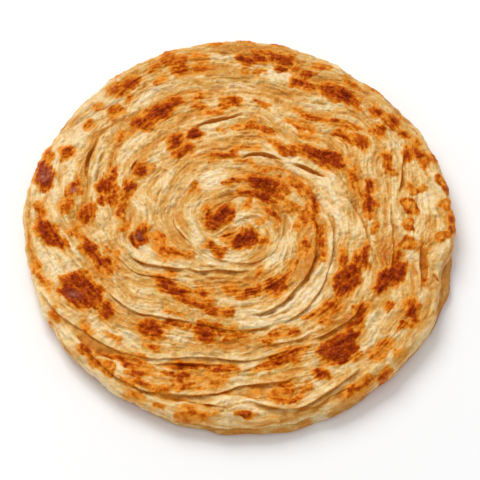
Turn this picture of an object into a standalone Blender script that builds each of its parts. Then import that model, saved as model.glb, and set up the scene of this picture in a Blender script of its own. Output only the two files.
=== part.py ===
"""A flaky coiled flatbread (lachha paratha), about 172 mm across and 13 mm thick, as one solid.

A strip of pleated dough is wound into a coil and rolled flat. Its layers run clockwise and
outwards from the heart in the middle. Along each fold the layer inside the line ends in a
raised lip, and the layer outside it starts lower, on a shelf, and rises again.

Frame: metres, +Z up, the origin at the middle of the flat underside, +Y towards the back.
"""

import math
from typing import NamedTuple

import bpy
import numpy as np

MM = 0.001

# Driving sizes, in millimetres.
RADIUS = 86.0  # mean radius of the outline
CROWN = 12.6  # height of the top at the middle, without its relief
SHOULDER = 10.6  # height of the top where the rim starts to round over
EQUATOR = 4.6  # height of the widest line of the rim
RIM_ROUND = 7.5  # how far in from the outline the rim starts to round over
LAND_INSET = 5.5  # how far in from the outline the flat underside ends
BLUNTNESS = 0.72  # 1 rounds the rim as an ellipse, less makes it blunter
OUTLINE_WAVES = (  # waves round the outline: how many, how high, and the bearing of a crest
    (1, 0.7, 118.0),
    (2, 0.5, 118.0),
    (5, 0.35, 20.0),
    (9, 0.25, 75.0),
)

# The coil: one shallow crease that winds inwards and anticlockwise between the turns of dough.
COIL_PITCH = 8.3
COIL_START = 16.5  # where the crease crosses the +X axis, on its way out from the heart
COIL_CREASE = 0.75  # depth of the crease

# The mesh before it is thinned out.
RINGS = 150  # rings from the heart to the rim's shoulder; ring k has RING_STEP * k points
RING_STEP = 8
RIM_ROWS = 20  # rows from the shoulder round to the flat underside
TRIANGLES = 9600  # what the thinned mesh keeps
LIP_STEP = 2.2  # width over which a lip drops to its shelf
LIP_RUN = 6.0  # how far back from its lip a layer starts to rise
END_TAPER = 7.0  # how far from its ends a fold fades in

# The rim shows the edges of the layers, one over the other.
RIM_LAYERS = 3
RIM_GROOVE = 1.1


class Fold(NamedTuple):
    """One line along which a layer ends. The raised layer is on the left of the route."""

    route: tuple  # points that the line passes through
    lift: float  # how far the raised layer stands up at its lip
    drop: float  # how far the shelf below the lip lies under the bread's own surface
    shelf: float  # how wide the shelf is
    rise: float  # how far past the shelf the next layer takes to come back up


# Each route runs anticlockwise and inwards, with the raised layer towards the heart, unless its
# comment says otherwise.
FOLDS = (
    # The heart of the coil, and the groove between its two lobes.
    Fold(((-24, 9), (-26, 3), (-25, -1), (-22, -5.5), (-17.5, -10), (-11, -14.5)), 0.6, 2.0, 0.6, 2.5),
    Fold(((-11, -14.5), (-5, -16.5), (2, -17.3), (8, -15), (13, -11), (16, -5.5)), 0.5, 1.4, 0.8, 3.0),
    Fold(((16, -5.5), (16.5, 0), (14, 5.5), (10, 9), (5, 11), (0, 10.6), (-5, 8.5)), 0.8, 2.2, 1.0, 5.0),
    Fold(((-16, -6), (-10, -5.5), (-5, -2), (0, 1), (4, 4), (8, 3), (10, -2)), 0.3, 1.2, 0.5, 2.5),
    # The second turn, open along its front right.
    Fold(((3, -39.7), (10, -37.8), (15, -35), (19, -31), (23, -26.5), (27, -21), (29.3, -14), (30, -7)), 0.9, 2.9, 1.4, 2.5),
    Fold(((30, -9), (29.5, 0), (27, 8), (22, 15), (16, 19.5), (10, 21.7), (3, 22.2), (-8, 21.8)), 0.4, 1.7, 1.0, 4.0),
    Fold(((15, -43.5), (21, -40.3), (26, -36), (30, -31), (33, -24), (35, -17)), 0.7, 2.2, 0.5, 2.0),
    Fold(((35, -17), (36, -10), (35.7, -4), (33, 4), (29, 12), (25, 18), (20, 22), (12, 25.3)), 0.6, 1.9, 0.8, 2.5),
    # The third turn: two open slits at the back, a long seam on the left, and a gap in front.
    Fold(((36, 20.3), (33, 20.8), (28, 22), (24.5, 25), (20, 28)), 0.4, 3.4, 1.5, 2.0),
    Fold(((20, 28), (14, 28.3), (8, 28.9), (3, 29.3), (-5, 29)), 0.4, 3.4, 1.6, 2.5),
    Fold(((-14, 29), (-20, 29), (-25, 26.7), (-31, 21.5), (-36, 16), (-39, 11.5)), 0.6, 2.0, 0.5, 2.5),
    Fold(((-41, 8), (-44, 0), (-44.6, -5), (-44.3, -9.5), (-42, -13)), 1.1, 2.6, 0.8, 3.0),
    Fold(((-43, -12), (-38, -15.5), (-32, -17.8), (-26, -19), (-20, -20), (-14, -20.5), (-6, -20.5)), 0.9, 2.4, 1.0, 2.5),
    Fold(((-52, -12), (-49, -15.5), (-45, -19), (-40, -21.8), (-34, -23.3), (-26, -24), (-16, -26), (-6, -26)), 0.3, 1.3, 0.6, 2.5),
    # The fourth turn, which crosses the front of the bread as its highest lip.
    Fold(((50, -24), (51, -15), (50.3, -9), (49, -4), (47, 2), (44.3, 8), (40.5, 12.5)), 0.5, 2.0, 0.7, 2.5),
    Fold(((27, -50.5), (33, -46.8), (38, -43.5), (43, -38.5), (47, -31)), 0.7, 2.2, 1.2, 2.5),
    Fold(
        ((-79, -28), (-75, -34.5), (-69, -40.5), (-60, -46.8), (-50, -53), (-40, -56)),
        1.3, 3.6, 4.5, 3.0,
    ),
    Fold(((-42, -55.5), (-30, -57), (-20, -56.6), (-10, -57), (3, -58.6), (12, -56.5), (20, -53.5)), 1.2, 3.0, 2.2, 2.5),
    # The seams that cross the left and the front between those turns.
    Fold(((-54, -27), (-50, -31), (-45, -35), (-40, -38.2), (-36, -39.8), (-28, -41)), 0.6, 1.8, 0.6, 2.5),
    Fold(((-28, -41), (-20, -42.3), (-10, -44.8), (0, -46), (8, -45.5), (14, -43.8)), 0.5, 1.3, 0.6, 2.5),
    Fold(((-15, -51.6), (-7, -51), (0, -49), (7, -47.5)), 0.7, 1.6, 2.0, 4.0),
    # The outer turn: back, right and front.
    Fold(((30, 53.5), (22, 56), (15, 58.5), (8, 60.8), (0, 61.6), (-5, 61.5), (-11, 61)), 0.5, 2.2, 0.8, 3.0),
    Fold(((-11, 61), (-18, 60), (-25, 58.5), (-32, 55.5), (-38, 51.5), (-44, 47), (-49, 42), (-54, 36.5)), 0.5, 2.4, 1.0, 5.0),
    Fold(((0, 48.7), (-6, 46.5), (-12, 44.8), (-17, 44.2), (-24, 41.5), (-31, 38.5), (-37, 34)), 0.5, 2.8, 1.4, 3.0),
    Fold(((-56.5, 40), (-58, 36), (-60, 30), (-61.5, 25), (-61.3, 18)), 0.4, 3.2, 1.6, 2.0),
    Fold(((47, 28), (45, 31.5), (42, 36), (37, 38.8), (32.5, 40.3), (26, 41.5)), 0.5, 1.6, 0.5, 2.5),
    Fold(((50, -29), (55, -24), (58, -18), (60, -11), (60, -4), (59.3, 4)), 0.5, 1.7, 0.6, 2.5),
    Fold(((59.3, 4), (61.5, 12), (64, 19), (65, 27), (66, 34), (63, 42)), 0.5, 2.0, 0.7, 2.5),
    Fold(((71.5, -30), (71.2, -22), (70.5, -16), (71.7, -10), (72.5, -4)), 0.3, 3.4, 2.0, 1.5),
    Fold(((62, -30), (59, -35), (56.5, -39), (54, -43), (51.5, -48), (50, -54)), 0.4, 1.5, 0.6, 2.5),
    Fold(((67, -55), (74, -42), (77.5, -34), (79, -27), (79, -20.5), (81, -16), (84, -10)), 0.5, 1.8, 5.0, 3.0),
    # The two lips along the front edge, and the deep pocket at the front right.
    Fold(((-60, -55), (-54, -59), (-48, -64.8), (-42, -68.5), (-36, -71), (-30, -72.8)), 0.9, 2.2, 1.5, 3.0),
    Fold(((-34, -71.7), (-28, -73.3), (-20, -74.2), (-13, -73.5), (-6, -71.2), (2, -69.5), (10, -68.3), (21, -66.4)), 1.0, 2.6, 2.4, 2.5),
    Fold(((5, -73.8), (12, -77.8), (19, -79.2), (25, -78), (30, -75.7), (36, -71.6), (41, -67.5), (47, -61.5)), 1.4, 3.0, 3.0, 3.5),
    # The back left, where the outer layer is the raised one: this route runs clockwise.
    Fold(((-49, 49), (-42, 57), (-37, 61.5), (-30, 64.5), (-22, 66.7), (-14, 67.6), (-5, 66.5)), 0.8, 0.8, 2.5, 3.0),
)


def smoothstep(x):
    x = np.clip(x, 0.0, 1.0)
    return x * x * (3 - 2 * x)


def through(route, step):
    """Points about step apart on the smooth curve through the route's own points."""
    given = np.array(route, float)
    ends = (2 * given[0] - given[1], *given, 2 * given[-1] - given[-2])
    made = []
    for before, a, b, after in zip(ends, ends[1:], ends[2:], ends[3:]):
        count = max(1, round(float(np.linalg.norm(b - a)) / step))
        for t in np.arange(count)[:, None] / count:
            curve = 2 * a + (b - before) * t
            curve = curve + (2 * before - 5 * a + 4 * b - after) * t**2
            made.append((curve + (3 * a - before - 3 * b + after) * t**3) / 2)
    made.append(given[-1:])
    return np.concatenate([np.atleast_2d(m) for m in made])


def along(points, line):
    """For each point: its distance from the line, positive on the left, and from the line's nearer end."""
    starts, steps = line[:-1], np.diff(line, axis=0)
    lengths = np.linalg.norm(steps, axis=1)
    done = np.concatenate([[0.0], np.cumsum(lengths)])
    gap = points[:, None, :] - starts[None, :, :]
    share = np.clip((gap * steps).sum(-1) / lengths**2, 0.0, 1.0)
    off = gap - share[..., None] * steps
    nearest = np.argmin((off**2).sum(-1), axis=1)
    row = np.arange(len(points))
    off, share = off[row, nearest], share[row, nearest]
    run = steps[nearest]
    side = np.sign(run[:, 0] * off[:, 1] - run[:, 1] * off[:, 0])
    position = done[nearest] + share * lengths[nearest]
    return side * np.linalg.norm(off, axis=1), np.minimum(position, done[-1] - position)


def coil_relief(points):
    """How far the coil's crease lowers the surface at each point of the plan."""
    reach = np.hypot(points[:, 0], points[:, 1])
    bearing = np.arctan2(points[:, 1], points[:, 0])
    turns = (reach - COIL_START) / COIL_PITCH + bearing / (2 * math.pi)
    uneven = 0.65 + 0.35 * np.sin(2.3 * bearing + 0.11 * reach)
    crease = 1 - np.abs(np.sin(math.pi * turns)) ** 0.7
    return -COIL_CREASE * crease * uneven * smoothstep(reach / 12 - 0.6)


def relief(points):
    """How far the surface stands above or below its plain shape at each point of the plan."""
    lift, drop = np.zeros(len(points)), np.zeros(len(points))
    for fold in FOLDS:
        line = through(fold.route, 2.0)
        reach = LIP_RUN + fold.shelf + fold.rise
        near = ((points > line.min(0) - reach) & (points < line.max(0) + reach)).all(1)
        across, from_end = along(points[near], line)
        fade = smoothstep(from_end / END_TAPER)
        raised = smoothstep(across / LIP_STEP + 0.5) * np.clip(1 - across / LIP_RUN, 0, 1) ** 2
        past_shelf = smoothstep((-across - fold.shelf) / fold.rise)
        sunk = smoothstep(0.5 - across / LIP_STEP) * (1 - past_shelf)
        lift[near] = np.maximum(lift[near], fold.lift * raised * fade)
        drop[near] = np.maximum(drop[near], fold.drop * sunk * fade)
    return lift - drop + coil_relief(points) * (1 - smoothstep(np.maximum(lift * 1.5, drop)))


def outline(bearing):
    """Radius of the outline at each bearing, in radians."""
    waves = (height * np.cos(count * (bearing - math.radians(crest))) for count, height, crest in OUTLINE_WAVES)
    return RADIUS + sum(waves)


def top_height(share):
    """Height of the plain top at each share of the way from the heart to the shoulder."""
    return SHOULDER + (CROWN - SHOULDER) * (1 - share**2.4)


def top_rings():
    """Rings of points on the top, from the heart out; ring k holds RING_STEP * k points."""
    rings = []
    for k in range(1, RINGS + 1):
        bearing = np.arange(RING_STEP * k) * 2 * math.pi / (RING_STEP * k)
        share = k / RINGS
        reach = share * (outline(bearing) - RIM_ROUND)
        plan = np.stack([reach * np.cos(bearing), reach * np.sin(bearing)], axis=1)
        height = top_height(share) + relief(plan)
        rings.append(np.column_stack([plan, height]))
    return rings


def rim_rows():
    """Rows of points from the shoulder round the rim to the edge of the flat underside."""
    bearing = np.arange(RING_STEP * RINGS) * 2 * math.pi / (RING_STEP * RINGS)
    outward = np.stack([np.cos(bearing), np.sin(bearing)], axis=1)
    edge = outline(bearing)
    sway = 0.9 * np.sin(2 * bearing) + 0.6 * np.sin(5 * bearing + 1)
    depth = RIM_GROOVE * (0.65 + 0.35 * np.sin(4 * bearing + 0.5))
    rows = []
    for row in range(1, RIM_ROWS + 1):
        turn = math.pi * row / RIM_ROWS  # 0 at the shoulder, a half turn at the underside
        upper = turn <= math.pi / 2
        width = RIM_ROUND if upper else LAND_INSET
        half_height = SHOULDER - EQUATOR if upper else EQUATOR
        height = EQUATOR + half_height * math.copysign(abs(math.cos(turn)) ** BLUNTNESS, math.cos(turn))
        reach = edge - width + width * max(0.0, math.sin(turn)) ** BLUNTNESS
        phase = RIM_LAYERS * 2 * math.pi * height / SHOULDER + sway
        reach = reach - depth * math.sin(turn) ** 2 * (0.5 - 0.5 * np.cos(phase))
        plan = outward * reach[:, None]
        stands = relief(plan) * math.cos(turn) if upper else np.zeros(len(plan))
        rows.append(np.column_stack([plan, height + stands]))
    return rows


def ring_faces(inner, outer):
    """Triangles between two rings, given as (index of the first point, number of points)."""
    (a, n), (b, m) = inner, outer
    faces, i, j = [], 0, 0
    while i < n or j < m:
        if j < m and (i >= n or (j + 1) * n <= (i + 1) * m):
            faces.append((a + i % n, b + j % m, b + (j + 1) % m))
            j += 1
        else:
            faces.append((a + i % n, b + j % m, a + (i + 1) % n))
            i += 1
    return faces


def bread_mesh():
    """The closed surface: the heart's middle point, the top's rings, the rim's rows, the flat underside."""
    heart = np.array([[0.0, 0.0, CROWN + relief(np.zeros((1, 2)))[0]]])
    bands = [heart, *top_rings(), *rim_rows()]
    points = np.concatenate(bands)
    starts = np.cumsum([0] + [len(band) for band in bands])
    rings = [(int(start), len(band)) for start, band in zip(starts, bands)]
    faces = [face for inner, outer in zip(rings, rings[1:]) for face in ring_faces(inner, outer)]
    last, count = rings[-1]
    faces.append(tuple(last + i for i in reversed(range(count))))
    mesh = bpy.data.meshes.new("paratha")
    mesh.from_pydata((points * MM).tolist(), [], faces)
    mesh.validate()
    return mesh


def baked_dough():
    material = bpy.data.materials.new("griddled_dough")
    material.use_nodes = True
    shader = material.node_tree.nodes["Principled BSDF"]
    shader.inputs["Base Color"].default_value = (0.66, 0.36, 0.10, 1.0)
    shader.inputs["Roughness"].default_value = 0.5
    shader.inputs["Metallic"].default_value = 0.0
    return material


def build_paratha():
    bread = bpy.data.objects.new("paratha", bread_mesh())
    bpy.context.scene.collection.objects.link(bread)
    bread.data.materials.append(baked_dough())
    bread.data.shade_smooth()
    thin = bread.modifiers.new("thin_out", "DECIMATE")
    thin.ratio = TRIANGLES / sum(len(face.vertices) - 2 for face in bread.data.polygons)
    return bread


def main():
    for leftover in list(bpy.data.objects):
        bpy.data.objects.remove(leftover)
    build_paratha()


main()
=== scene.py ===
"""A whole lachha paratha: a coil of pleated dough, rolled flat and browned on a griddle.

The bread is a thick top crust over a thinner under crust. The top crust is drawn first as a plan in
millimetres: the folds, the turns of the coil that run between them, the pleats that follow the turns,
and the griddle's scorch marks. The plan is then covered with points, closely along the folds, and
raised into a solid skin.
"""

import math
from typing import NamedTuple

import bpy
import numpy as np
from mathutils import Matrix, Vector
from mathutils.geometry import delaunay_2d_cdt


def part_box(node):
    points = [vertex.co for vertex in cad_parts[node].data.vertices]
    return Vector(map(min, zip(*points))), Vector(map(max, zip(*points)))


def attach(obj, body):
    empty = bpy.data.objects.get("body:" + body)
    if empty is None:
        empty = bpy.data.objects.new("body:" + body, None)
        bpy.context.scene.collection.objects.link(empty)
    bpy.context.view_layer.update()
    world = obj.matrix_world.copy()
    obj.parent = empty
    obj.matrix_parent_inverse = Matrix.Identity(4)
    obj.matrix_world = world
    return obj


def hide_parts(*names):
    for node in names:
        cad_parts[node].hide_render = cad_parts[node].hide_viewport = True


MM = 0.001

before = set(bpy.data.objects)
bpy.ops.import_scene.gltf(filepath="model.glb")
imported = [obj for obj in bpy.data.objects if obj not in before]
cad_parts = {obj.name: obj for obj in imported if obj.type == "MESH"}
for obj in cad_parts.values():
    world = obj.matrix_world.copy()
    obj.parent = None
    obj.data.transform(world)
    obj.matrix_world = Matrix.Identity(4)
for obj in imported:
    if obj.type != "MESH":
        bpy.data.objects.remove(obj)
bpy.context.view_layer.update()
low, high = (np.array(corner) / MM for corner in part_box("paratha"))
RADIUS = float((high - low)[:2].mean() / 2)
THICKNESS = float(high[2] - low[2])

# Heights, in millimetres above the surface the bread lies on.
CROWN = 0.945 * THICKNESS  # the top at the heart
SHOULDER = 0.80 * THICKNESS  # the top where the rim starts to round over
TOP_EQUATOR = 0.46 * THICKNESS  # widest line of the top crust
TOP_FOOT = 0.19 * THICKNESS  # where the top crust is tucked in under itself
UNDER_EQUATOR = 0.18 * THICKNESS
UNDER_HEAD = 0.42 * THICKNESS
RIM_ROUND = 7.5  # how far in from the edge the rim starts to round over
RIM_TUCK = 3.0  # how far in from the edge the top crust's foot lies
RIM_BLUNT = 0.72  # 1 makes the rim an oval, less makes it squarer
UNDER_ROUND = 5.5
UNDER_BLUNT = 0.7

# Radius of the bread at bearings in degrees, as a share of its mean radius.
OUTLINE = (
    (0, 0.994), (15, 0.988), (30, 0.988), (45, 0.977), (55, 0.977), (70, 0.998), (80, 1.006), (93, 1.013),
    (105, 1.013), (120, 1.010), (130, 1.006), (140, 0.994), (150, 0.992), (165, 1.009), (175, 1.012),
    (185, 0.991), (193, 0.981), (205, 0.994), (237, 0.994), (270, 1.004), (277, 1.010), (297, 1.009),
    (315, 1.0), (338, 1.006), (350, 0.988),
)
# How far the top crust's edge is drawn in from the outline, in millimetres, at bearings in degrees.
DRAWN_IN = (
    (0, 0.1), (90, 0.1), (200, 0.1), (250, 0.4), (262, 1.2), (285, 1.5), (300, 0.8), (310, 0.2), (330, 0.3),
    (338, 1.8), (343, 3.2), (346.5, 5.3), (350, 2.2), (353, 0.2),
)
# How far the under crust is tucked in beneath it.
TUCKED_IN = (
    (0, 1.0), (40, 1.8), (90, 2.0), (160, 2.0), (215, 1.7), (240, 1.3), (258, 0.5), (285, 0.1), (305, 0.6),
    (325, 0.9), (335, 0.2), (350, 0.2), (356, 0.7),
)

# The coil's own crease winds inwards and anticlockwise.
COIL_PITCH = 8.3
COIL_START = 16.5  # where the crease crosses the +X axis on its way out from the heart

# The plan's grid.
HALF = 96.0
CELL = 0.25
SIZE = int(2 * HALF / CELL) + 1

# Spacing of the top crust's points, and the rows of them beside each fold.
SKIN_STEP = 0.40
FOLD_STEP = 0.42
RIM_STEP = 0.55
CUT_STEP = 0.3
SAME_SPOT = 0.16
FOLD_ROWS = (-1.3, -0.9, -0.6, -0.35, -0.12, 0.08, 0.25, 0.5, 0.8, 1.2)
GAP_ROWS = (0.0, 0.25, 0.5, 0.75, 1.0, 1.25)
OPEN_GAP_DROP = 3.4  # a fold with a deeper floor than this is an open gap
# The top crust is cut into rounds, each a closed piece: its name, and where it starts and ends.
ROUNDS = (
    ("heart_and_inner_turns", 0.0, 46.0),
    ("middle_turns", 46.0, 65.5),
    ("outer_turns_and_rim", 65.5, None),
)
# The under crust's own points.
UNDER_STEP = 0.9
UNDER_RIM_POINTS = 620
UNDER_MARKS = 150


class Fold(NamedTuple):
    """A line along which a layer of dough ends. The raised layer is on the left of the route."""

    route: tuple
    lift: float  # how far the raised layer stands up at its lip, before it is eased
    drop: float  # how far the floor beside the lip lies under the bread's surface, before it is eased
    shelf: float  # how wide that floor is
    rise: float  # how far past the floor the dough takes to come back up
    over: float  # how far the lip hangs over the floor
    heat: float  # 0 leaves the gap golden, 1 paints it dark orange-brown, as browned dough and as painted shade


# What share of a fold's drawn height is made: at a lip, at an ordinary floor and in an open gap.
LIP_EASE = 0.7
FLOOR_EASE = 0.42
GAP_EASE = 0.70
LIP_BACK = 6.0  # how far behind its lip a raised layer slopes down

# Most routes run anticlockwise, with the raised layer towards the heart.
FOLDS = (
    # The heart of the coil.
    Fold(
        ((-24, 9), (-26, 3), (-25.2, -1), (-22.5, -4.7), (-20, -7.8), (-17.3, -10)),
        0.4, 2.0, 0.6, 1.6, 0.4, 0.4,
    ),
    Fold(
        ((-18, -9), (-14, -12.5), (-10, -15), (-3, -17), (4, -17.3), (9, -15.5), (13, -12.3), (15.5, -8)),
        0.35, 1.0, 0.5, 2.0, 0.4, 0.15,
    ),
    Fold(
        ((15.2, -9), (16.5, -3), (16, 2), (13, 7), (9, 9.5), (5, 10.8), (0, 11), (-3, 9.7), (-6, 7.5)),
        0.7, 2.6, 0.8, 4.5, 0.7, 0.45,
    ),
    Fold(
        ((-14, -7), (-9, -5), (-4, -1), (0, 1.6), (4, 3.6), (8, 3), (10, -1), (10.5, -4)),
        0.25, 0.5, 0.5, 2.5, 0.2, 0.0,
    ),
    # The second turn.
    Fold(
        ((3, -39.6), (7, -39), (12, -37), (16.5, -34), (20, -29.5), (23.5, -25.5), (26, -21.5),
         (28, -17), (29.2, -12), (29.6, -7)),
        0.9, 3.2, 1.7, 0.9, 0.8, 0.2,
    ),
    Fold(((29.2, -10), (29.6, -4), (29, 3), (26.5, 9), (22, 15), (17.5, 19)), 0.5, 2.2, 0.7, 2.2, 0.5, 0.5),
    Fold(((20, 17), (14, 20), (9, 21.5), (2, 21.8), (-5, 22.5), (-11, 21)), 0.3, 1.2, 0.6, 3.5, 0.4, 0.1),
    Fold(((-3, 26.5), (-10, 24.5), (-16, 21), (-21, 16), (-24, 11)), 0.2, 1.2, 0.6, 2.5, 0.3, 0.05),
    Fold(
        ((15.5, -43.7), (21, -40.3), (26, -36), (29.5, -31), (32, -26.5), (34.6, -20)),
        0.6, 2.3, 0.6, 1.6, 0.6, 0.6,
    ),
    Fold(
        ((34, -22), (35.5, -14), (36.2, -8), (35.8, -2), (34, 3), (31, 8), (28, 13), (25, 18)),
        0.7, 2.6, 0.9, 1.6, 0.6, 0.6,
    ),
    Fold(((27, 15), (25, 18), (20, 22), (15, 24.5), (9, 26), (2, 26.6)), 0.3, 1.5, 0.5, 2.0, 0.4, 0.4),
    # The third turn, with two open gaps at the back.
    Fold(
        ((36, 20), (33, 20.6), (29.5, 21.6), (26, 23.3), (22, 25.6), (18.5, 27.7)),
        0.3, 4.2, 1.9, 0.7, 0.5, 1.0,
    ),
    Fold(
        ((19, 27.6), (14, 28.9), (10, 29.8), (6, 30), (2, 29.4), (-3, 28.8)),
        0.3, 4.2, 1.6, 0.7, 0.5, 0.9,
    ),
    Fold(
        ((2, 30.3), (-8, 31.4), (-17, 30), (-22, 28.3), (-27, 24.6), (-31, 20.3), (-35, 16.3), (-38.5, 12)),
        0.6, 2.2, 0.6, 1.8, 0.5, 0.4,
    ),
    Fold(((-41.4, 5), (-43, 0), (-43.8, -4), (-44.3, -8), (-43.4, -11)), 1.0, 3.0, 1.0, 2.2, 0.7, 0.5),
    Fold(
        ((-46, -11.5), (-41, -15), (-36, -17.3), (-31, -18.3), (-25, -19.2), (-19, -20.4)),
        0.9, 2.8, 0.9, 1.5, 0.8, 0.4,
    ),
    Fold(((-22, -19.6), (-16, -20.6), (-10, -20), (-4, -20.4), (4, -21)), 0.6, 2.4, 1.2, 1.2, 0.6, 0.25),
    Fold(((-18, -17.6), (-13, -18.6), (-8, -18.4)), 0.3, 1.0, 0.5, 1.0, 0.3, 0.3),
    Fold(
        ((-50, -12), (-46, -16), (-42.5, -19.8), (-38, -22), (-31, -23.2), (-22, -25)),
        0.4, 1.6, 0.5, 1.8, 0.4, 0.35,
    ),
    Fold(((46, 13), (42, 17), (39, 20.5), (35, 24), (30, 28.5), (22, 32)), 0.3, 1.3, 0.5, 2.2, 0.4, 0.3),
    # The fourth turn.
    Fold(
        ((51.5, -14), (51, -10), (49.7, -6), (48.7, -2), (47.5, 1.5), (46, 4.6), (44.2, 8), (42, 11),
         (39.5, 13.5)),
        0.5, 2.6, 0.9, 1.6, 0.5, 0.5,
    ),
    Fold(
        ((26, -50.6), (30, -48.9), (34, -46.7), (38, -44.2), (42, -41.6), (45, -38), (47.5, -32)),
        0.6, 2.6, 1.3, 0.9, 0.6, 0.15,
    ),
    Fold(
        ((5, 50), (0, 48.9), (-3, 47.2), (-7, 46.2), (-12, 45), (-17, 43.6), (-22, 41.5)),
        0.4, 3.6, 1.8, 0.7, 0.6, 0.5,
    ),
    Fold(((-17, 43.6), (-24, 41), (-31, 37.5), (-37, 33.5), (-42, 29.5)), 0.3, 1.5, 0.6, 2.0, 0.4, 0.2),
    Fold(((45, 33), (40, 37.8), (36, 39), (32.5, 40.3), (25, 42)), 0.4, 1.7, 0.6, 2.0, 0.4, 0.3),
    Fold(
        ((-52, -29), (-47, -33.7), (-42.5, -37), (-38, -39), (-32, -40), (-25, -41.5), (-17, -43)),
        0.6, 1.9, 0.5, 1.8, 0.5, 0.35,
    ),
    Fold(
        ((-20, -42.4), (-9, -45), (-2, -46.2), (3, -46), (8, -45.2), (14, -43.6)),
        0.5, 1.7, 0.5, 1.8, 0.5, 0.35,
    ),
    # The great lip that crosses the left and the front. The second route is the crisp edge that
    # faces it over the gap, where the raised layer is the outer one, so that route runs clockwise.
    Fold(
        ((-80, -26), (-76.5, -30), (-73, -35), (-70, -38.6), (-65, -42.5), (-60, -46), (-55, -49.6),
         (-50, -52.8), (-45, -55.2), (-40, -56.6)),
        1.0, 1.5, 2.0, 4.0, 0.6, 0.1,
    ),
    Fold(
        ((-32, -61), (-36, -60.8), (-40, -60.4), (-46, -59.2), (-52, -57.2), (-57, -54.5), (-62, -50),
         (-66, -45.5), (-70, -41)),
        0.5, 3.8, 0.4, 5.0, 0.3, 0.35,
    ),
    Fold(
        ((-43, -55.8), (-33, -57.6), (-26, -57.3), (-18, -57), (-10, -57.6), (-3, -58.4), (3, -58.6),
         (9, -57.3), (16, -55), (21, -53)),
        1.0, 1.7, 1.4, 1.4, 0.7, 0.1,
    ),
    Fold(
        ((-38, -60.6), (-34, -60.3), (-27, -59.5), (-20, -59.4), (-12, -59.9), (-6, -60.7), (-1, -61.8)),
        0.2, 3.6, 0.9, 1.4, 0.6, 0.6,
    ),
    Fold(((-10, -51.6), (-4, -50.4), (1, -48.8), (6, -47.6)), 0.5, 1.9, 2.6, 3.0, 0.3, 0.0),
    Fold(((2, -56), (8, -53.2), (15, -51.4), (22, -50), (28, -47.2)), 0.5, 1.1, 0.6, 2.0, 0.5, 0.1),
    Fold(((1, -63.6), (7, -60.6), (12, -58.3), (17, -56.2), (23, -53.6)), 0.5, 1.2, 0.6, 2.0, 0.4, 0.1),
    # The outer turn.
    Fold(
        ((29, 54.1), (24, 55.8), (18, 57.8), (12, 59.8), (6, 61.2), (1, 61.8)),
        0.4, 1.9, 0.6, 1.6, 0.4, 0.3,
    ),
    Fold(((6, 61), (0, 61.7), (-6, 61.6), (-11, 60.8), (-15, 60.6)), 0.3, 3.0, 1.3, 1.0, 0.4, 0.1),
    Fold(
        ((-11, 61), (-19, 60), (-24, 58.8), (-29, 57.2), (-34, 54.5), (-38, 51.4)),
        0.4, 2.8, 0.5, 5.5, 0.3, 0.0,
    ),
    Fold(
        ((-12, 68.6), (-20, 67.5), (-27, 65.5), (-33, 63.3), (-38, 61.2), (-41.5, 56.5)),
        0.7, 0.8, 1.0, 3.0, 0.5, 0.0,
    ),
    Fold(
        ((-37, 53), (-39.5, 51.5), (-43, 48), (-48, 43), (-52, 38), (-54.5, 34)),
        0.4, 1.5, 0.5, 2.0, 0.4, 0.3,
    ),
    Fold(((-41, 54), (-44, 51), (-49, 46.5), (-54, 42)), 0.3, 1.0, 1.2, 3.0, 0.3, 0.0),
    Fold(
        ((-55.5, 41), (-57.2, 36), (-58.9, 31), (-60, 26), (-60.3, 22), (-59.6, 17)),
        0.4, 4.0, 1.5, 0.8, 0.5, 0.9,
    ),
    Fold(
        ((58.4, -20), (59.6, -14), (59.9, -8), (59.7, -2), (59, 3), (60, 10)),
        0.4, 1.7, 0.5, 1.8, 0.4, 0.35,
    ),
    Fold(((62.3, 13), (63.6, 19), (64.2, 24), (64.8, 30), (65.2, 36)), 0.4, 2.3, 0.8, 1.6, 0.4, 0.5),
    Fold(
        ((71.2, -31), (70.6, -26), (70.4, -20), (70.2, -15), (70.8, -10), (72.2, -4)),
        0.3, 4.6, 2.6, 0.8, 0.3, 1.0,
    ),
    Fold(((63, -32), (59, -37), (56.5, -41), (54, -45), (52, -50)), 0.3, 1.3, 0.5, 1.8, 0.3, 0.2),
    Fold(((76.2, -20.4), (77, -22.2), (78.2, -24.6)), 0.2, 2.6, 0.5, 0.8, 0.2, 0.9),
    Fold(((51.4, -6.6), (52.6, -7.2), (53.8, -8.4)), 0.1, 1.8, 0.3, 0.8, 0.1, 0.9),
    Fold(((-44, 24.6), (-42.6, 26.8), (-41, 29.2)), 0.1, 1.6, 0.3, 0.8, 0.1, 0.8),
    # The two lips along the front edge, and the deep pocket at the front right.
    Fold(
        ((-60, -53), (-54, -59), (-51, -62), (-48, -64.7), (-43, -67.8), (-37, -70.2), (-31, -71.9)),
        0.8, 1.6, 0.8, 2.0, 0.5, 0.2,
    ),
    Fold(
        ((-42, -68.4), (-37, -70.4), (-31, -71.9), (-25, -72.6), (-18, -73), (-11, -72.4), (-5, -70.6),
         (0, -69.1), (6, -68.4), (12, -68), (21, -66.4)),
        1.0, 2.2, 2.2, 2.0, 0.7, 0.1,
    ),
    Fold(
        ((8, -75.6), (6, -75), (1, -73.7), (-4, -73.1), (-9, -73.5), (-13, -74.4)),
        0.3, 3.2, 0.4, 3.4, 0.3, 0.35,
    ),
    Fold(((-24, -75.2), (-21, -75.3), (-16, -76), (-10, -77), (-6, -78)), 0.3, 2.4, 0.9, 1.2, 0.4, 0.3),
    Fold(
        ((3, -75.4), (7, -76.6), (12, -77.9), (18, -78.7), (23, -77.8), (27, -76), (31, -73.3),
         (36, -69.8), (41, -66), (47, -61.2)),
        1.0, 2.6, 3.0, 1.3, 0.6, 0.15,
    ),
    Fold(
        ((22, -80.4), (26, -79), (30, -77), (35, -73.5), (39, -70.8), (44, -69)),
        0.2, 3.4, 1.2, 1.6, 0.4, 0.5,
    ),
)

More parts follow.
